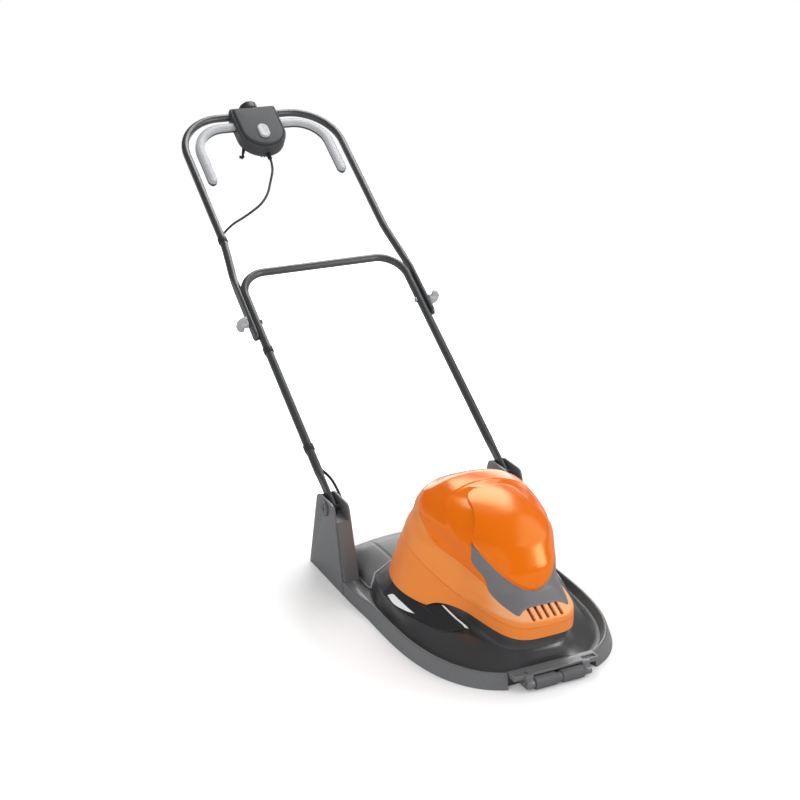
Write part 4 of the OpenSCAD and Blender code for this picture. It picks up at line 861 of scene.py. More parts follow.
# The lip follows the front edge of the cover, where it meets the mound, and runs back along both of its sides
lip_route = []
for x, z in zip(arch_x, arch_z):
    near, far_y = COVER_FRONT, COVER_END
    for _ in range(40):
        y = (near + far_y) / 2
        wide, high = cover_at((y - COVER_FRONT) / (COVER_END - COVER_FRONT))
        turn = math.atan2(x * wide, -y) % (2 * math.pi)
        inside = math.hypot(x * wide, y) < mound_reach(turn, TROUGH + z * high)
        near, far_y = (y, far_y) if inside else (near, y)
    lip_route.append((x * (wide - LIP_SUNK), y, TROUGH + z * (high - LIP_SUNK)))
run_back = [(COVER_HALF - LIP_SUNK, y, TROUGH + 1.7) for y in LIP_BACK]
lip_route = [(-x, y, z) for x, y, z in reversed(run_back)] + lip_route[2:-2] + run_back


def tube_along(route, radius, sides=12):
    """A round cord along a route in metres."""
    route = np.array(route, float)
    along = np.gradient(route, axis=0)
    along /= np.linalg.norm(along, axis=1)[:, None]
    across = np.cross(along, (0.13, -0.55, 0.83))
    across /= np.linalg.norm(across, axis=1)[:, None]
    up = np.cross(across, along)
    turn = np.linspace(0, 2 * np.pi, sides, endpoint=False)
    return skin([p + radius * (np.cos(turn)[:, None] * u + np.sin(turn)[:, None] * v)
                 for p, u, v in zip(route, across, up)], cap_ends=True)


lip = tube_along(np.array(lip_route) * MM + np.array(ROTOR), LIP_ROUND * MM)
# Black plastic painted a lighter grey, as a painted sheen
COVER_SHEEN_GREY = moulded_plastic("cover_grey_painted_sheen", "#6a6b6d", "#757678", 0.38, 0.08)
finish_piece("rear_hump", cover_mesh, COVER_SHEEN_GREY, "deck", ["rear_cover"], 35)
# The lip's pale grey is a painted highlight along the bead
LIP_HIGHLIGHT_GREY = moulded_plastic("cover_lip_painted_highlight", "#a3a4a7", "#b0b1b3", 0.34, 0.05)
finish_piece("rear_hump_lip", lip, LIP_HIGHLIGHT_GREY, "deck", (), 60)


# Handle brackets: two plates and a web on each side, screwed to the rim, which hold the lower handle's ends.
# Satin grey-black plastic with a soft edge all round.
def rounded(node, width, segments=2):
    """A copy of a CAD node with its flat faces whole and its edges rounded off, to stand in its place."""
    work = bmesh.new()
    work.from_mesh(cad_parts[node].data)
    bmesh.ops.remove_doubles(work, verts=work.verts, dist=2e-6)
    bmesh.ops.dissolve_limit(work, angle_limit=math.radians(0.4), verts=work.verts, edges=work.edges)
    copy = bpy.data.meshes.new(node)
    work.to_mesh(copy)
    work.free()
    copy.shade_smooth()
    holder = held(copy)
    bevel = holder.modifiers.new("edges", "BEVEL")
    bevel.width = width * MM
    bevel.segments = segments
    bevel.limit_method = "ANGLE"
    bevel.angle_limit = math.radians(30)
    bevel.harden_normals = True
    return applied(holder)


def soften(name, node, width, material, body, segments=2):
    """A piece that is a CAD node with its edges rounded off to a width in millimetres."""
    finish_piece(name, rounded(node, width, segments), material, body, [node], None)


BRACKET_GREY = moulded_plastic("bracket_grey_plastic", "#606163", "#6d6e70", 0.36, 0.1, 1.0)
for side in ("left", "right"):
    soften("handle_bracket_" + side, "bracket_" + side, 1.6, BRACKET_GREY, "deck", 3)

# Pivot screws: broad flat heads with a cross recess, one outside each bracket.
# Grey plastic heads on steel shanks, driven in through the handle's ends.
SCREW_GREY = moulded_plastic("pivot_screw_plastic", "#55565a", "#66676b", 0.34, 0.06)
soften("pivot_screw_pair", "pivot_screws", 0.7, SCREW_GREY, "deck")

# Roller carrier: the step in the front of the rim, with a cheek at each end of the roller and two pockets.
# The same satin plastic as the brackets, with soft edges, snapped into the notch of the rim.
soften("roller_step", "roller_carrier", 0.8, BRACKET_GREY, "deck")


# Roller axle: a plain steel pin through both cheeks, held by its own spring in the holes.
# Drawn steel with fine lines along it.
def bright_metal(name, colour, dark, roughness, stretch, metallic=1.0):
    """Bare metal: lines of its making along one axis, faint stains and a roughness that follows them."""
    material, paint, where = blank(name)
    lines = where.times(stretch).noise(scale=1.0, detail=5.0, rough=0.65)
    stains = where.noise(scale=35.0, detail=4.0)
    return surfaced(material, paint, {
        "Base Color": (lines * 0.5 + stains * 0.5).clamped().mixed(srgb(dark), srgb(colour)),
        "Metallic": metallic,
        "Roughness": (lines - 0.5) * 0.25 + (stains - 0.5) * 0.15 + roughness,
    }, height=lines, strength=0.12, depth=0.3 * MM)


def dress(material, *nodes):
    """A procedural finish on CAD nodes whose shape is right as it is."""
    for node in nodes:
        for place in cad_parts[node].material_slots:
            place.material = material


DRAWN_STEEL = bright_metal("drawn_steel", "#c9ccd0", "#9a9da1", 0.3, (30.0, 900.0, 900.0))
soften("roller_pin", "roller_axle", 0.5, DRAWN_STEEL, "deck")


# Transport roller: two ribbed drums on one core, which turn on the pin when the mower is tipped forward.
# Grey plastic; the fine ribs round each drum are moulded on.
def grown(name, points, turns, sizes, shape, material):
    """A mesh of copies on points, each with its turn; shape wires one copy in a node tree from the sizes."""
    tree = bpy.data.node_groups.new(name, "GeometryNodeTree")
    tree.interface.new_socket("Points", in_out="INPUT", socket_type="NodeSocketGeometry")
    keys = {}
    for label, value in sizes.items():
        kind = "NodeSocketInt" if isinstance(value, int) else "NodeSocketFloat"
        keys[label] = tree.interface.new_socket(label, in_out="INPUT", socket_type=kind).identifier
    tree.interface.new_socket("Mesh", in_out="OUTPUT", socket_type="NodeSocketGeometry")
    root = Paint(tree)
    inlet = tree.nodes.new("NodeGroupInput")
    given = {label: Paint(tree, inlet.outputs[label]) for label in sizes}
    turn = root.node("GeometryNodeInputNamedAttribute", {"data_type": "FLOAT_VECTOR"}, {"Name": "turn"})
    places = Paint(tree, inlet.outputs["Points"])
    copies = root.node("GeometryNodeInstanceOnPoints", {}, {
        "Points": places, "Instance": shape(root, given), "Rotation": turn})
    whole = root.node("GeometryNodeRealizeInstances", {}, {0: copies})
    dressed = root.node("GeometryNodeSetMaterial", {}, {"Geometry": whole, "Material": material})
    root.node("NodeGroupOutput", {}, {0: dressed})
    seeds = bpy.data.meshes.new(name)
    seeds.from_pydata([tuple(p) for p in points], [], [])
    turned_by = seeds.attributes.new("turn", "FLOAT_VECTOR", "POINT")
    turned_by.data.foreach_set("vector", np.array(turns, float).ravel())
    holder = held(seeds)
    growth = holder.modifiers.new("grow", "NODES")
    growth.node_group = tree
    for label, value in sizes.items():
        growth[keys[label]] = value
    return applied(holder)


def turned(profile, sides, place):
    """A body turned round an axis, from pairs of place and radius; place puts a point of it in the frame."""
    turn = np.linspace(0, 2 * np.pi, sides, endpoint=False)
    rows = [[place(along, r * math.cos(b), r * math.sin(b)) for b in turn] for along, r in profile]
    return skin(rows, cap_ends=True)


ROLLER_AT = ROTOR + Vector((0, -340.0, 13.5)) * MM
ROLLER_RADIUS = 13.0
ROLLER_CORE = 9.75
DRUM_FROM = 6.0
DRUM_TO = 52.0
RIB_PITCH = 4.6
RIBS = 10


def on_roller(along, across, up):
    return tuple(ROLLER_AT + Vector((along, across, up)) * MM)


drum_line = [(-DRUM_TO, 4.0), (-DRUM_TO, ROLLER_RADIUS - 1.4), (-DRUM_TO + 0.8, ROLLER_RADIUS - 0.6),
             (-DRUM_FROM - 0.8, ROLLER_RADIUS - 0.6), (-DRUM_FROM, ROLLER_RADIUS - 1.4),
             (-DRUM_FROM, ROLLER_CORE)]
drum_mesh = turned(drum_line + [(-x, r) for x, r in reversed(drum_line)], 64, on_roller)
rib_places = [way * (DRUM_FROM + 2.6 + RIB_PITCH * i) for way in (-1, 1) for i in range(RIBS)]


def drum_rib(root, size):
    circles = []
    for count, label in ((64, "Rib Ring"), (8, "Rib Round")):
        sockets = {"Resolution": count, "Radius": size[label]}
        circles.append(root.node("GeometryNodeCurvePrimitiveCircle", {"mode": "RADIUS"}, sockets))
    return root.node("GeometryNodeCurveToMesh", {}, {"Curve": circles[0], "Profile Curve": circles[1]})


ROLLER_GREY = moulded_plastic("roller_grey_plastic", "#58595b", "#656668", 0.4, 0.12)
rib_points = [on_roller(x, 0, 0) for x in rib_places]
rib_mesh = grown("drum_ribs", rib_points, [(0, math.pi / 2, 0)] * len(rib_points),
                 {"Rib Ring": (ROLLER_RADIUS - 0.9) * MM, "Rib Round": 0.8 * MM}, drum_rib, ROLLER_GREY)
roller_mesh = joined(drum_mesh, rib_mesh)
finish_piece("ribbed_roller", roller_mesh, ROLLER_GREY, "roller", ["transport_roller"], 40)

# Motor plate and end bracket: the castings that carry the motor's two bearings, one below and one above.
# Die-cast alloy, left as it comes from the die, with a fine pebbled skin.
CAST_ALLOY = bright_metal("cast_alloy", "#a9abae", "#808286", 0.5, (220.0, 220.0, 220.0), 0.85)
soften("motor_spider", "motor_plate", 0.8, CAST_ALLOY, "deck")
soften("motor_top_bracket", "end_bracket", 0.8, CAST_ALLOY, "deck")

# Motor can, core and coils: a pressed tube round a stack of thin laminations, with a winding above and below.
# Grey painted steel, blued lamination edges, and enamelled copper wire wound in rings.
CAN_PAINT = moulded_plastic("can_grey_paint", "#66686b", "#77797c", 0.42, 0.1)
soften("motor_tube", "motor_can", 0.6, CAN_PAINT, "deck")


def layered_metal(name, colour, dark, roughness, pitch, metallic):
    """Metal in layers along Z, such as laminations or turns of wire, with a dark line between them."""
    material, paint, where = blank(name)
    wave = paint.maths("SINE", where.axis(2) * (2 * math.pi / pitch)) * 0.5 + 0.5
    stains = where.noise(scale=60.0, detail=3.0)
    return surfaced(material, paint, {
        "Base Color": (wave * 0.8 + (stains - 0.5) * 0.6).clamped().mixed(srgb(dark), srgb(colour)),
        "Metallic": metallic,
        "Roughness": (stains - 0.5) * 0.2 + roughness,
    }, height=wave, strength=0.5, depth=0.4 * MM)


LAMINATIONS = layered_metal("core_laminations", "#8e9094", "#5f6165", 0.45, 1.2 * MM, 0.9)
COPPER_WIRE = layered_metal("coil_copper", "#c4763c", "#8a4a20", 0.35, 0.9 * MM, 0.8)
dress(LAMINATIONS, "stator_core")
soften("field_windings", "field_coils", 2.5, COPPER_WIRE, "deck", 3)

# Bearings, brush holders, brushes and terminals: the small pieces round the shaft and under the rear cover.
# Ground bearing steel, brass boxes, grey carbon, an aluminium capacitor and a pale terminal block.
BEARING_STEEL = bright_metal("bearing_steel", "#d3d5d8", "#a3a6aa", 0.22, (60.0, 60.0, 1500.0))
soften("bearing_low", "lower_bearing", 0.6, BEARING_STEEL, "deck")
soften("bearing_high", "upper_bearing", 0.6, BEARING_STEEL, "deck")
BRUSH_BRASS = bright_metal("holder_brass", "#c9a45c", "#8c6b3a", 0.36, (300.0, 40.0, 300.0))
soften("brush_boxes", "brush_holders", 0.4, BRUSH_BRASS, "deck")
CARBON_GREY = moulded_plastic("brush_carbon", "#2b2b2c", "#3a3a3c", 0.55, 0.3)
dress(CARBON_GREY, "carbon_brushes")
FOIL_GREY = moulded_plastic("capacitor_case", "#c4c6c8", "#d2d4d6", 0.36, 0.05)
soften("noise_capacitor", "capacitor", 1.0, FOIL_GREY, "deck")
soften("wire_terminals", "terminal_block", 1.2, WHITE_AND_HIGHLIGHT, "deck")


# Screws of the cowl and the motor plate: eight pan heads with a cross recess, driven down into the crest.
# Zinc-plated steel.
def pan_screw(root, size):
    """One screw on the seat of its head: a cylinder cut to a dome, a cross sunk in it, and a plain shank."""
    radius, height, length = size["Head Radius"], size["Head Height"], size["Shank Length"]

    def moved(part, up, turn=(0, 0, 0)):
        lift = root.node("ShaderNodeCombineXYZ", {}, {2: up})
        sockets = {"Geometry": part, "Translation": lift, "Rotation": turn}
        return root.node("GeometryNodeTransform", {}, sockets)

    def fed(made, socket, *parts):
        for part in parts:
            root.tree.links.new(part.socket, made.socket.node.inputs[socket])
        return made

    head = root.node("GeometryNodeMeshCylinder", {}, {"Vertices": 28, "Radius": radius, "Depth": height})
    ball = root.node("GeometryNodeMeshUVSphere", {}, {"Segments": 28, "Rings": 12, "Radius": radius * 1.25})
    both = root.node("GeometryNodeMeshBoolean", {"operation": "INTERSECT", "solver": "EXACT"})
    crown = moved(fed(both, "Mesh 2", head, moved(ball, height * -0.62)), height * 0.5)
    slot_size = root.node("ShaderNodeCombineXYZ", {}, {0: radius * 1.1, 1: radius * 0.24, 2: height})
    slot = root.node("GeometryNodeMeshCube", {}, {"Size": slot_size})
    slots = [moved(slot, height * 1.05, (0, 0, quarter)) for quarter in (0, math.pi / 2)]
    cross = fed(root.node("GeometryNodeJoinGeometry"), 0, *slots)
    cut = {"operation": "DIFFERENCE", "solver": "EXACT"}
    crossed = fed(root.node("GeometryNodeMeshBoolean", cut, {"Mesh 1": crown}), "Mesh 2", cross)
    shank_size = {"Vertices": 20, "Radius": size["Shank Radius"], "Depth": length}
    shank = moved(root.node("GeometryNodeMeshCylinder", {}, shank_size), length * -0.5)
    return fed(root.node("GeometryNodeJoinGeometry"), 0, crossed, shank)


ZINC = bright_metal("zinc_plate", "#c6c9cc", "#a5a8ab", 0.3, (500.0, 500.0, 120.0))
COWL_SCREW_INSET = 18.0
MOTOR_SCREW_REACH = 121.0
cowl_screw_turns, motor_screw_turns = np.radians((60, 120, 240, 300)), np.radians((45, 135, 225, 315))
cowl_screw_reach = cowl_reach(cowl_screw_turns, np.zeros_like(cowl_screw_turns)) - COWL_SCREW_INSET
cowl_screw_points = list(around(cowl_screw_turns, cowl_screw_reach, CREST + 3))
motor_screw_points = list(around(motor_screw_turns, MOTOR_SCREW_REACH, CREST + 4))
SCREW_SIZES = {"Head Radius": 4.0 * MM, "Head Height": 2.5 * MM, "Shank Radius": 2.0 * MM}
for name, places, node, shank in (("cowl_pan_screws", cowl_screw_points, "cowl_screws", 5.0),
                                  ("motor_pan_screws", motor_screw_points, "motor_screws", 6.0)):
    made = grown(name, places, [(0, 0, math.radians(20 * i)) for i in range(len(places))],
                 {**SCREW_SIZES, "Shank Length": shank * MM}, pan_screw, ZINC)
    finish_piece(name, made, ZINC, "deck", [node], 35)

# Rotor: shaft, armature and commutator turn inside the can; below the crest hang the fan, spacers and blade.
# Ground shaft, copper windings, a white nylon fan with vanes, orange spacers and a sharpened steel bar.
dress(BEARING_STEEL, "motor_shaft")
dress(LAMINATIONS, "armature")
dress(COPPER_WIRE, "commutator")
FAN_NYLON = moulded_plastic("fan_white_nylon", "#e6e6e1", "#f1f1ec", 0.38, 0.06)
soften("fan_wheel", "fan", 0.7, FAN_NYLON, "rotor")
SPACER_ORANGE = moulded_plastic("spacer_orange_plastic", "#d9691c", "#e0742a", 0.4, 0.08)
soften("spacer_discs", "height_spacers", 0.7, SPACER_ORANGE, "rotor")
BLADE_STEEL = bright_metal("blade_ground_steel", "#b4b7bb", "#85888c", 0.34, (700.0, 40.0, 300.0))
BLADE_HALF = 165.0
BLADE_WIDE = 23.0
BLADE_LOW = 33.0
BLADE_TOP = 36.0
BLADE_BORE = 6.05
# Both tips are cut back over a length and a width; the leading side of each end is ground to an edge
TIP_LONG = 26.0
TIP_WIDE = 14.95
GRIND = 9.0
GRIND_FROM = 70.0
EDGE_THICK = 0.4


def prism(*rings):
    """A closed body between two rings of points in millimetres from the rotor's foot."""
    return skin([[Vector(p) * MM + ROTOR for p in ring] for ring in rings], cap_ends=True)


half_bar = [(-BLADE_HALF, -BLADE_WIDE), (BLADE_HALF - TIP_LONG, -BLADE_WIDE),
            (BLADE_HALF, TIP_WIDE - BLADE_WIDE)]
bar = half_bar + [(-x, -y) for x, y in half_bar]
bar_mesh = prism(*[[(x, y, z) for x, y in bar] for z in (BLADE_LOW, BLADE_TOP)])
wedge = ((BLADE_WIDE - GRIND, BLADE_TOP + 0.01), (BLADE_WIDE + 2, BLADE_LOW + EDGE_THICK),
         (BLADE_WIDE + 2, BLADE_TOP + 3), (BLADE_WIDE - GRIND, BLADE_TOP + 3))
wedge_ends = (GRIND_FROM, BLADE_HALF + 5)
grinders = [prism(*[[(way * x, way * y, z) for y, z in wedge] for x in wedge_ends]) for way in (1, -1)]
drill_turn = np.linspace(0, 2 * np.pi, 40, endpoint=False)
bore = [(BLADE_BORE * math.cos(b), BLADE_BORE * math.sin(b)) for b in drill_turn]
drill = prism(*[[(x, y, z) for x, y in bore] for z in (BLADE_LOW - 2, BLADE_TOP + 2)])
blade_mesh = cut_away(bar_mesh, *grinders, drill)
finish_piece("cutting_bar", blade_mesh, BLADE_STEEL, "rotor", ["blade"], 12)
soften("bar_washer", "blade_washer", 0.5, ZINC, "rotor")
soften("bar_nut", "blade_nut", 0.7, ZINC, "rotor")

# Lower handle: one tube bent into a loop, its ends pressed flat where they turn between the bracket plates.
# Steel tube under black powder paint, with an orange-peel skin and some dust.
PIVOT_AT = ROTOR + Vector((0, 235.0, 163.0)) * MM
RAKE = math.radians(33.5)
TUBE_RADIUS = 9.5
FLAT_THICK = 5.0
FLAT_TALL = 12.0
LEG_X = 205.0
LOWER_END = 648.0
LOWER_BEND = 65.0
# Where the tube stops being flat and where it is round
LOWER_FLAT = (58.0, 92.0)


def on_handle(x, s, h):
    """A point across, along and out of the plane of the handle at rest, from its pivots, in metres."""
    return (PIVOT_AT.x + x * MM, PIVOT_AT.y + (s * math.cos(RAKE) - h * math.sin(RAKE)) * MM,
            PIVOT_AT.z + (s * math.sin(RAKE) + h * math.cos(RAKE)) * MM)


def bent_tube(path, thick, tall, sides=36):
    """A tube along a path in the handle's plane, with a half thickness and a half height at each point."""
    path = np.array(path, float)
    along = np.gradient(path, axis=0)
    along /= np.linalg.norm(along, axis=1)[:, None]
    rows = []
    for (x, s), (dx, ds), t, h in zip(path, along, thick, tall):
        power = 1 if abs(t - h) < 0.01 else 1 - 0.45 * min(1, (h - t) / (FLAT_TALL - FLAT_THICK))
        ring = []
        for b in np.linspace(0, 2 * np.pi, sides, endpoint=False):
            out = math.copysign(abs(math.cos(b)) ** power, math.cos(b)) * t
            up = math.sin(b) * h if power == 1 else math.copysign(abs(math.sin(b)) ** power, math.sin(b)) * h
            ring.append(on_handle(x + out * ds, s - out * dx, up))
        rows.append(ring)
    return skin(rows, cap_ends=True)


def loop_path(leg, foot_x, bend, low, high, slant):
    """One leg, its bend and half the crosspiece; the leg slants from foot_x to leg between two places."""
    up = np.arange(low, high - bend, 6.0)
    even = np.clip((up - slant[0]) / (slant[1] - slant[0]), 0, 1)
    x = foot_x + (leg - foot_x) * (0.3 * smooth_step(up, *slant) + 0.7 * even)
    turn = np.linspace(0, np.pi / 2, 22)
    corner = [(leg - bend + bend * math.cos(a), high - bend + bend * math.sin(a)) for a in turn]
    across = [(v, high) for v in np.linspace(leg - bend, 0, 16)[1:]]
    return list(zip(x, up)) + corner + across


def looped(half):
    """The whole loop of a half path, end to end."""
    return half + [(-x, s) for x, s in reversed(half[:-1])]


def pressed(path, foot, flat):
    """Half thickness and half height along a loop whose ends are pressed flat and rounded off."""
    s = np.array([p[1] for p in path])
    f = 1 - smooth_step(s, *flat)
    nose = np.sqrt(np.clip(1 - ((foot + FLAT_TALL - s) / FLAT_TALL).clip(0, 1) ** 2, 0.0004, 1))
    return TUBE_RADIUS + (FLAT_THICK - TUBE_RADIUS) * f, (TUBE_RADIUS + (FLAT_TALL - TUBE_RADIUS) * f) * nose


def powder_paint(name, colour, light):
    """Powder paint on steel: orange peel, and a lighter tone where dust lies."""
    material, paint, where = blank(name)
    peel = where.noise(scale=420.0, detail=2.0)
    dust = where.noise(scale=60.0, detail=5.0, rough=0.7)
    return surfaced(material, paint, {
        "Base Color": ((dust - 0.35) * 1.2).clamped().mixed(srgb(colour), srgb(light)),
        "Roughness": (peel - 0.5) * 0.06 + (dust - 0.5) * 0.08 + 0.34,
        "Specular IOR Level": 1.0,
        "Coat Weight": 0.25,
        "Coat Roughness": 0.3,
    }, height=peel, strength=0.05, depth=0.3 * MM)


TUBE_BLACK = powder_paint("tube_black_paint", "#333436", "#424345")
end_steps = [-FLAT_TALL * math.cos(a) for a in np.linspace(0, np.pi / 2, 9)]
lower_leg = loop_path(LEG_X, LEG_X, LOWER_BEND, 0, LOWER_END, LOWER_FLAT)
lower_path = looped([(LEG_X, s) for s in end_steps[:-1]] + lower_leg)
lower_mesh = bent_tube(lower_path, *pressed(lower_path, -FLAT_TALL, LOWER_FLAT))
finish_piece("lower_loop", lower_mesh, TUBE_BLACK, "lower_handle", ["lower_tube"], 40)

# Lead clips, fold bolts and wing knobs: two clips on the lower leg, and on each side a bolt with its knob.
# Black nylon clips, zinc bolts, and pale grey knobs with a half-round wing to turn by hand.
CLIP_BLACK = moulded_plastic("clip_black_nylon", "#2a2b2d", "#38393b", 0.4, 0.08)
soften("lead_clips_lower", "lower_clips", 0.6, CLIP_BLACK, "lower_handle")
soften("fold_pins", "fold_bolts", 0.5, ZINC, "lower_handle")
PALE_GREY = moulded_plastic("pale_grey_plastic", "#a8aaad", "#b5b7ba", 0.36, 0.06)
for side in ("left", "right"):
    soften("hand_knob_" + side, "wing_knob_" + side, 2.0, PALE_GREY, "knob_" + side, 4)

# Upper handle: the top loop, whose flattened ends lie outside the lower legs and slant in above them.
# The same painted steel tube as below.
UPPER_X = 220.0
UPPER_FOOT = 457.0
UPPER_END = 1155.0
UPPER_BEND = 115.0
UPPER_FLAT = (600.0, 650.0)
UPPER_SLANT = (606.0, 748.0)
upper_low = UPPER_FOOT + FLAT_TALL
upper_leg = loop_path(LEG_X, UPPER_X, UPPER_BEND, upper_low, UPPER_END, UPPER_SLANT)
upper_path = looped([(UPPER_X, upper_low + s) for s in end_steps[:-1]] + upper_leg)
upper_mesh = bent_tube(upper_path, *pressed(upper_path, UPPER_FOOT, UPPER_FLAT))
finish_piece("upper_loop", upper_mesh, TUBE_BLACK, "upper_handle", ["upper_tube"], 40)
soften("lead_clip_upper", "upper_clip", 0.6, CLIP_BLACK, "upper_handle")

# Lead: the black flex from the switch box, free as far as the top clip, then under the left leg to the deck.
# Round rubber sheath with a faint matt bloom. The free length rides on the upper handle, the clipped one
# is baked in place on no body, and the tail stays in its grommet on the deck.
LEAD_RADIUS = 3.0
LEAD_SIDES = 16
# Where the lead passes the fold, and where it follows the upper handle
BEND_FROM = (-205, 462, -13)
BEND_TO = (-205, 556, -13)
LEAD_UPPER = [(0, 1028, -5.5), (0, 1006.4, -5.5), (-2, 988.8, -6), (-6, 972.1, -7), (-13, 955.5, -8),
              (-24, 934, -9), (-36, 910.5, -9), (-50, 889, -9), (-72, 865.6, -9), (-100, 846, -9),
              (-130, 828.4, -9), (-156, 814.7, -9), (-176, 801, -10), (-191, 788.3, -12),
              (-200, 779.5, -13), (-205, 767.8, -13), (-205, 757, -13), (-205, 747.2, -13)]
LEAD_LOWER = [(-205, s, -13) for s in (745, 700, *range(660, 160, -40), 145)]
LEAD_LOWER += [(-203, 130, -13), (-198, 112, -12), (-191, 96, -10), (-185, 80, -7), (-182, 64, -4),
               (-181, 48, -2), (-181, 30, 0), (-181, 14, 0), (-181, 0, 0)]
TAIL_AT = (-181.0, 235.0)
TAIL_SPAN = (18, 159)


def smooth_route(points, step):
    """Points a step apart on a smooth curve through a route."""
    points = np.array(points, float)
    grown_out = np.concatenate([[2 * points[0] - points[1]], points, [2 * points[-1] - points[-2]]])
    fine = []
    for a, b, c, d in zip(grown_out, grown_out[1:], grown_out[2:], grown_out[3:]):
        pieces = max(2, int(np.linalg.norm(c - b) / step))
        for t in np.arange(pieces) / pieces:
            fine.append(b + 0.5 * t * (c - a) + t * t * (a - 2.5 * b + 2 * c - 0.5 * d)
                        + t ** 3 * (-0.5 * a + 1.5 * b - 1.5 * c + 0.5 * d))
    fine.append(points[-1])
    return np.array(fine)


LEAD_RUBBER = moulded_plastic("lead_black_rubber", "#17181a", "#242527", 0.48, 0.2)
upper_route = np.array([on_handle(*p) for p in smooth_route(LEAD_UPPER, 4.0)])
lower_route = np.array([on_handle(*p) for p in smooth_route(LEAD_LOWER, 6.0)])
tail_route = np.array([tuple(ROTOR + Vector((*TAIL_AT, z)) * MM) for z in np.linspace(*TAIL_SPAN, 30)])
leads = {}
for length, route, body in (("upper", upper_route, "upper_handle"), ("lower", lower_route, None),
                            ("tail", tail_route, "deck")):
    sheath = tube_along(route, LEAD_RADIUS * MM, LEAD_SIDES)
    node = "lead_" + length
    leads[length] = finish_piece("flex_" + length, sheath, LEAD_RUBBER, body, [node], 50)
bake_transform(leads["lower"], "lower_handle", "upper_handle", start=on_handle(*BEND_FROM), end=on_handle(*BEND_TO))
soften("flex_grommet", "lead_grommet", 1.0, LEAD_RUBBER, "deck", 3)

# Switch box: two moulded shells round the top bar, split level with it, with a raised panel on the upper one.
# Satin black plastic; a slot in each flank lets a lever through, and six teeth under the front give grip.
BOX_MID = 1084.0
BOX_RADIUS = 61.0
BOX_END = 1168.0
BOX_CORNER = 6.0
# Room in the box for the top bar, and for the levers where they leave it
BAR_AT = 1155.0
BAR_ROOM = 9.6
BAR_REACH = 67.0
SLOT_S = 1119.0
SLOT_HALF = 13.0
SLOT_ACROSS = (48.0, 66.0)
SLOT_UP = (-8.4, 10.4)


def d_ring(inset, h, steps=48):
    """The D outline of the box at one height, drawn in by an inset, with its two back corners rounded."""
    r = BOX_RADIUS - inset
    ring = [(r * math.cos(a), BOX_MID + r * math.sin(a)) for a in np.linspace(np.pi, 2 * np.pi, steps)]
    end = BOX_END - inset
    c = max(1.0, BOX_CORNER - inset * 0.3)
    ring += [(r - c + c * math.cos(a), end - c + c * math.sin(a)) for a in np.linspace(0, np.pi / 2, 8)]
    ring += [(-r + c + c * math.cos(a), end - c + c * math.sin(a)) for a in np.linspace(np.pi / 2, np.pi, 8)]
    return [on_handle(x, s, h) for x, s in ring]


openings = []
for way in (-1, 1):
    near, far_x = (way * x for x in SLOT_ACROSS)
    corners = ((near, -SLOT_HALF), (far_x, -SLOT_HALF), (far_x, SLOT_HALF), (near, SLOT_HALF))
    openings.append(skin([[on_handle(x, SLOT_S + s, h) for x, s in corners] for h in SLOT_UP], cap_ends=True))
bar_turn = np.linspace(0, 2 * np.pi, 40, endpoint=False)
bar_round = [(BAR_ROOM * math.cos(b), BAR_ROOM * math.sin(b)) for b in bar_turn]
openings.append(skin([[on_handle(x, BAR_AT + s, h) for s, h in bar_round] for x in (-BAR_REACH, BAR_REACH)],
                     cap_ends=True))
BOX_BLACK = moulded_plastic("box_black_plastic", "#3e3f41", "#4a4b4d", 0.44, 0.16, 0.2)
# Insets and heights round the wall of each shell
base_line = [(44, -16.9), (9, -17), (5, -16.5), (2.2, -15), (0.6, -12.4), (0, -9.5), (0, -0.9),
             (0.7, -0.1), (3, -0.1), (3, -12.6), (5.4, -14), (44, -14)]
base_mesh = cut_away(skin([d_ring(i, h) for i, h in base_line], cap_ends=True), *openings)
top_line = [(44, 20.9), (11.6, 20.9), (11, 15.4), (5, 15), (3, 12.6), (3, 0.1), (0.7, 0.1), (0, 0.9),
            (0, 13.5), (0.5, 16), (1.9, 18), (4, 18.8), (6, 18.4), (6.9, 17.6), (7.6, 18.2), (8, 20.4),
            (8.8, 22.6), (10.4, 23.7), (13, 24), (44, 24)]
BUTTON_S = 1075.0
BUTTON_STRAIGHT = 9.0
WELL_RADIUS = 14.5
WELL_UP = (18.0, 26.0)


def button_ring(radius, h):
    """The oval of the lock button at one height: two half circles, a straight stretch apart."""
    ring = []
    for b in np.linspace(0, 2 * np.pi, 48, endpoint=False) + np.pi / 48:
        middle = BUTTON_S + math.copysign(BUTTON_STRAIGHT, math.sin(b))
        ring.append(on_handle(radius * math.cos(b), middle + radius * math.sin(b), h))
    return ring


well = skin([button_ring(WELL_RADIUS, h) for h in WELL_UP], cap_ends=True)
top_mesh = cut_away(skin([d_ring(i, h) for i, h in top_line], cap_ends=True), *openings, well)
TEETH = 6
TEETH_PITCH = 7.4
TEETH_FROM = -12.0
TEETH_S = 1034.0
TEETH_UP = -18.6
TOOTH_SIZES = {"Tooth Width": 4.4 * MM, "Tooth Length": 11.0 * MM, "Tooth Depth": 6.0 * MM}


def grip_tooth(root, size):
    """One tooth: a bar with soft corners."""
    extent = root.node("ShaderNodeCombineXYZ", {}, dict(enumerate(size[label] for label in TOOTH_SIZES)))
    bar = root.node("GeometryNodeMeshCube", {}, {"Size": extent})
    bar = root.node("GeometryNodeSubdivisionSurface", {}, {"Mesh": bar, "Level": 2, "Edge Crease": 0.62})
    return root.node("GeometryNodeSetShadeSmooth", {}, {"Geometry": bar})


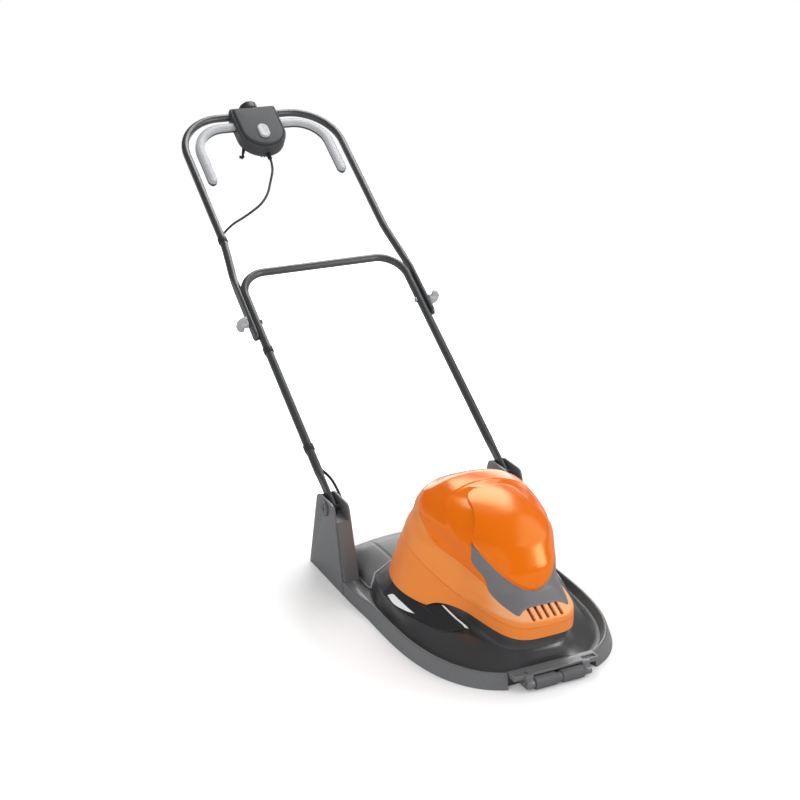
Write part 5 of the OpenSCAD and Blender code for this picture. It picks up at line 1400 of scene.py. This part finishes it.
# The row of teeth bends with the round front of the box
teeth_x = [TEETH_FROM + TEETH_PITCH * i for i in range(TEETH)]
tooth_points = [on_handle(x, TEETH_S + 0.012 * x ** 2, TEETH_UP) for x in teeth_x]
teeth = grown("grip_teeth", tooth_points, [(RAKE, 0, 0)] * TEETH, TOOTH_SIZES, grip_tooth, BOX_BLACK)
for name, shell, node in (("box_shell_low", joined(base_mesh, teeth), "box_base"),
                          ("box_shell_top", top_mesh, "box_top")):
    finish_piece(name, shell, BOX_BLACK, "upper_handle", [node], 32)

# Box fittings: four screws from below, the inlet for the mains lead, a hook for its slack, the lead's relief.
# Zinc screws, black plastic inlet and hook, and a soft black rubber relief that tapers towards the lead.
BOX_SCREWS = ((32, -35), (22, 44))
BOX_SCREW_UP = -14.6
box_screw_points = [on_handle(x * way, BOX_MID + s, BOX_SCREW_UP) for x, s in BOX_SCREWS for way in (1, -1)]
box_screw_mesh = grown("box_pan_screws", box_screw_points, [(RAKE + math.pi, 0, 0.3 * i) for i in range(4)],
                       {**SCREW_SIZES, "Shank Length": 28.0 * MM}, pan_screw, ZINC)
finish_piece("box_pan_screws", box_screw_mesh, ZINC, "upper_handle", ["box_screws"], 35)
soften("mains_socket", "mains_inlet", 1.2, CLIP_BLACK, "upper_handle", 3)
soften("slack_hook", "cord_hook", 1.3, CLIP_BLACK, "upper_handle", 3)
RELIEF_UP = -5.5
# Places along the handle with the radius of the relief there; its bore closes the line
relief_line = [(1007, 3.05), (1007, 4.3), (1007.6, 5.0), (1009.4, 5.3), (1011, 5.0), (1011.6, 4.7),
               (1013.4, 5.6), (1015.4, 5.4), (1016, 5.0), (1017.8, 6.0), (1020, 6.3), (1022.5, 6.4),
               (1022.5, 4.5), (1026.4, 4.5), (1026.4, 5.3), (1029.4, 5.3), (1031, 4.4), (1031, 3.05)]
relief_turn = np.linspace(0, 2 * np.pi, 32, endpoint=False)
relief_rows = []
for s, r in relief_line:
    relief_rows.append([on_handle(r * math.cos(b), s, RELIEF_UP + r * math.sin(b)) for b in relief_turn])
relief = skin(relief_rows, wrap_rows=True)
finish_piece("lead_relief", relief, LEAD_RUBBER, "upper_handle", ["strain_relief"], 40)
dress(CARBON_GREY, "microswitch")

# Button spring: five turns of drawn steel wire between a seat in the box and the flange of the lock button.
# A swept helix that stands on the handle.
SPRING_LENGTH = 18.0
SPRING_REACH = 7.0
SPRING_WIRE = 0.8
SPRING_TURNS = 5


def wire_ring(share):
    """The ring round the wire at a share of the way up the spring."""
    a = 2 * math.pi * SPRING_TURNS * share
    up = SPRING_WIRE + share * (SPRING_LENGTH - 2 * SPRING_WIRE)
    ring = []
    for b in np.linspace(0, 2 * np.pi, 8, endpoint=False):
        r = SPRING_REACH + SPRING_WIRE * math.cos(b)
        ring.append(on_handle(r * math.cos(a), BUTTON_S + r * math.sin(a), up + SPRING_WIRE * math.sin(b)))
    return ring


coil_mesh = skin([wire_ring(share) for share in np.linspace(0, 1, 121)], cap_ends=True)
coil = finish_piece("button_coil", coil_mesh, DRAWN_STEEL, "upper_handle", ["button_spring"], 60)
on_handle(0, BUTTON_S, 0)
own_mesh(coil)

# Lock button: the domed oval in the panel that frees the levers, standing on its spring.
# Pale grey plastic, polished, with a shallow dish for the thumb.
button_line = [(16.4, 18.1), (16.4, 20.9), (14, 21), (14, 25.6), (13.5, 27.4), (12.4, 28.6), (10.6, 29.0),
               (7, 28.6), (3, 28.2), (0.6, 28.1)]
button_mesh = skin([button_ring(r, h) for r, h in button_line], cap_ends=True)
finish_piece("lock_push", button_mesh, PALE_GREY, "button", ["lock_button"], 35)

# Levers: a bar on each side that follows the loop of the handle and starts the motor when it is pulled up.
# Pale grey plastic covers snapped over a dark grey core, which turns on a post inside the box.
LEVER_FROM = 36.0
# Middle and radius of the bend
LEVER_ARC = (90.0, 1040.0, 79.0)
LEVER_TIP = 948.0
LEVER_HALF = 11.0
COVER_SIDE = 4.2
COVER_DOME = 5.8
CORE_GREY = moulded_plastic("lever_core_grey", "#3b3c40", "#48494d", 0.42, 0.1)


def lever_line():
    """The middle line of a lever from its hub to its tip, with its half width at each point."""
    x, s, r = LEVER_ARC
    line = [(v, SLOT_S, LEVER_HALF) for v in np.linspace(LEVER_FROM, x, 12)]
    bend = np.linspace(np.pi / 2, 0, 26)[1:]
    line += [(x + r * math.cos(a), s + r * math.sin(a), LEVER_HALF) for a in bend]
    line += [(x + r, v, LEVER_HALF) for v in np.linspace(s, LEVER_TIP, 14)[1:]]
    line += [(x + r, LEVER_TIP - LEVER_HALF * math.sin(a), LEVER_HALF * max(0.04, math.cos(a)))
             for a in np.linspace(0, np.pi / 2, 9)[1:]]
    return np.array(line)


def lever_bar(way, section):
    """A bar along a lever; its section has shares of the half width across, with millimetres up."""
    line = lever_line()
    along = np.gradient(line[:, :2], axis=0)
    along /= np.linalg.norm(along, axis=1)[:, None]
    rows = [[on_handle(way * (x + across * half * ds), s - across * half * dx, up) for across, up in section]
            for (x, s, half), (dx, ds) in zip(line, along)]
    return skin(rows, cap_ends=True)


core_section = [(-1, -0.2), (-1, -5.5), (-0.8, -7.2), (-0.4, -7.9), (0, -8), (0.4, -7.9), (0.8, -7.2),
                (1, -5.5), (1, -0.2)]
dome_turn = np.linspace(0.12, np.pi - 0.12, 19)
dome_line = [(math.cos(a), COVER_SIDE + COVER_DOME * math.sin(a)) for a in dome_turn]
cover_section = [(1, 0.1), (1, COVER_SIDE)] + dome_line + [(-1, COVER_SIDE), (-1, 0.1)]
for side, way in (("left", -1), ("right", 1)):
    for layer, section, material, slot in (("core", core_section, CORE_GREY, "grey_plastic"),
                                           ("cover", cover_section, PALE_GREY, "light_plastic")):
        body, name = "lever_" + side, "lever_grip_" + layer + "_" + side
        finish_piece(name, lever_bar(way, section), material, body, [body + "_" + layer], 35)
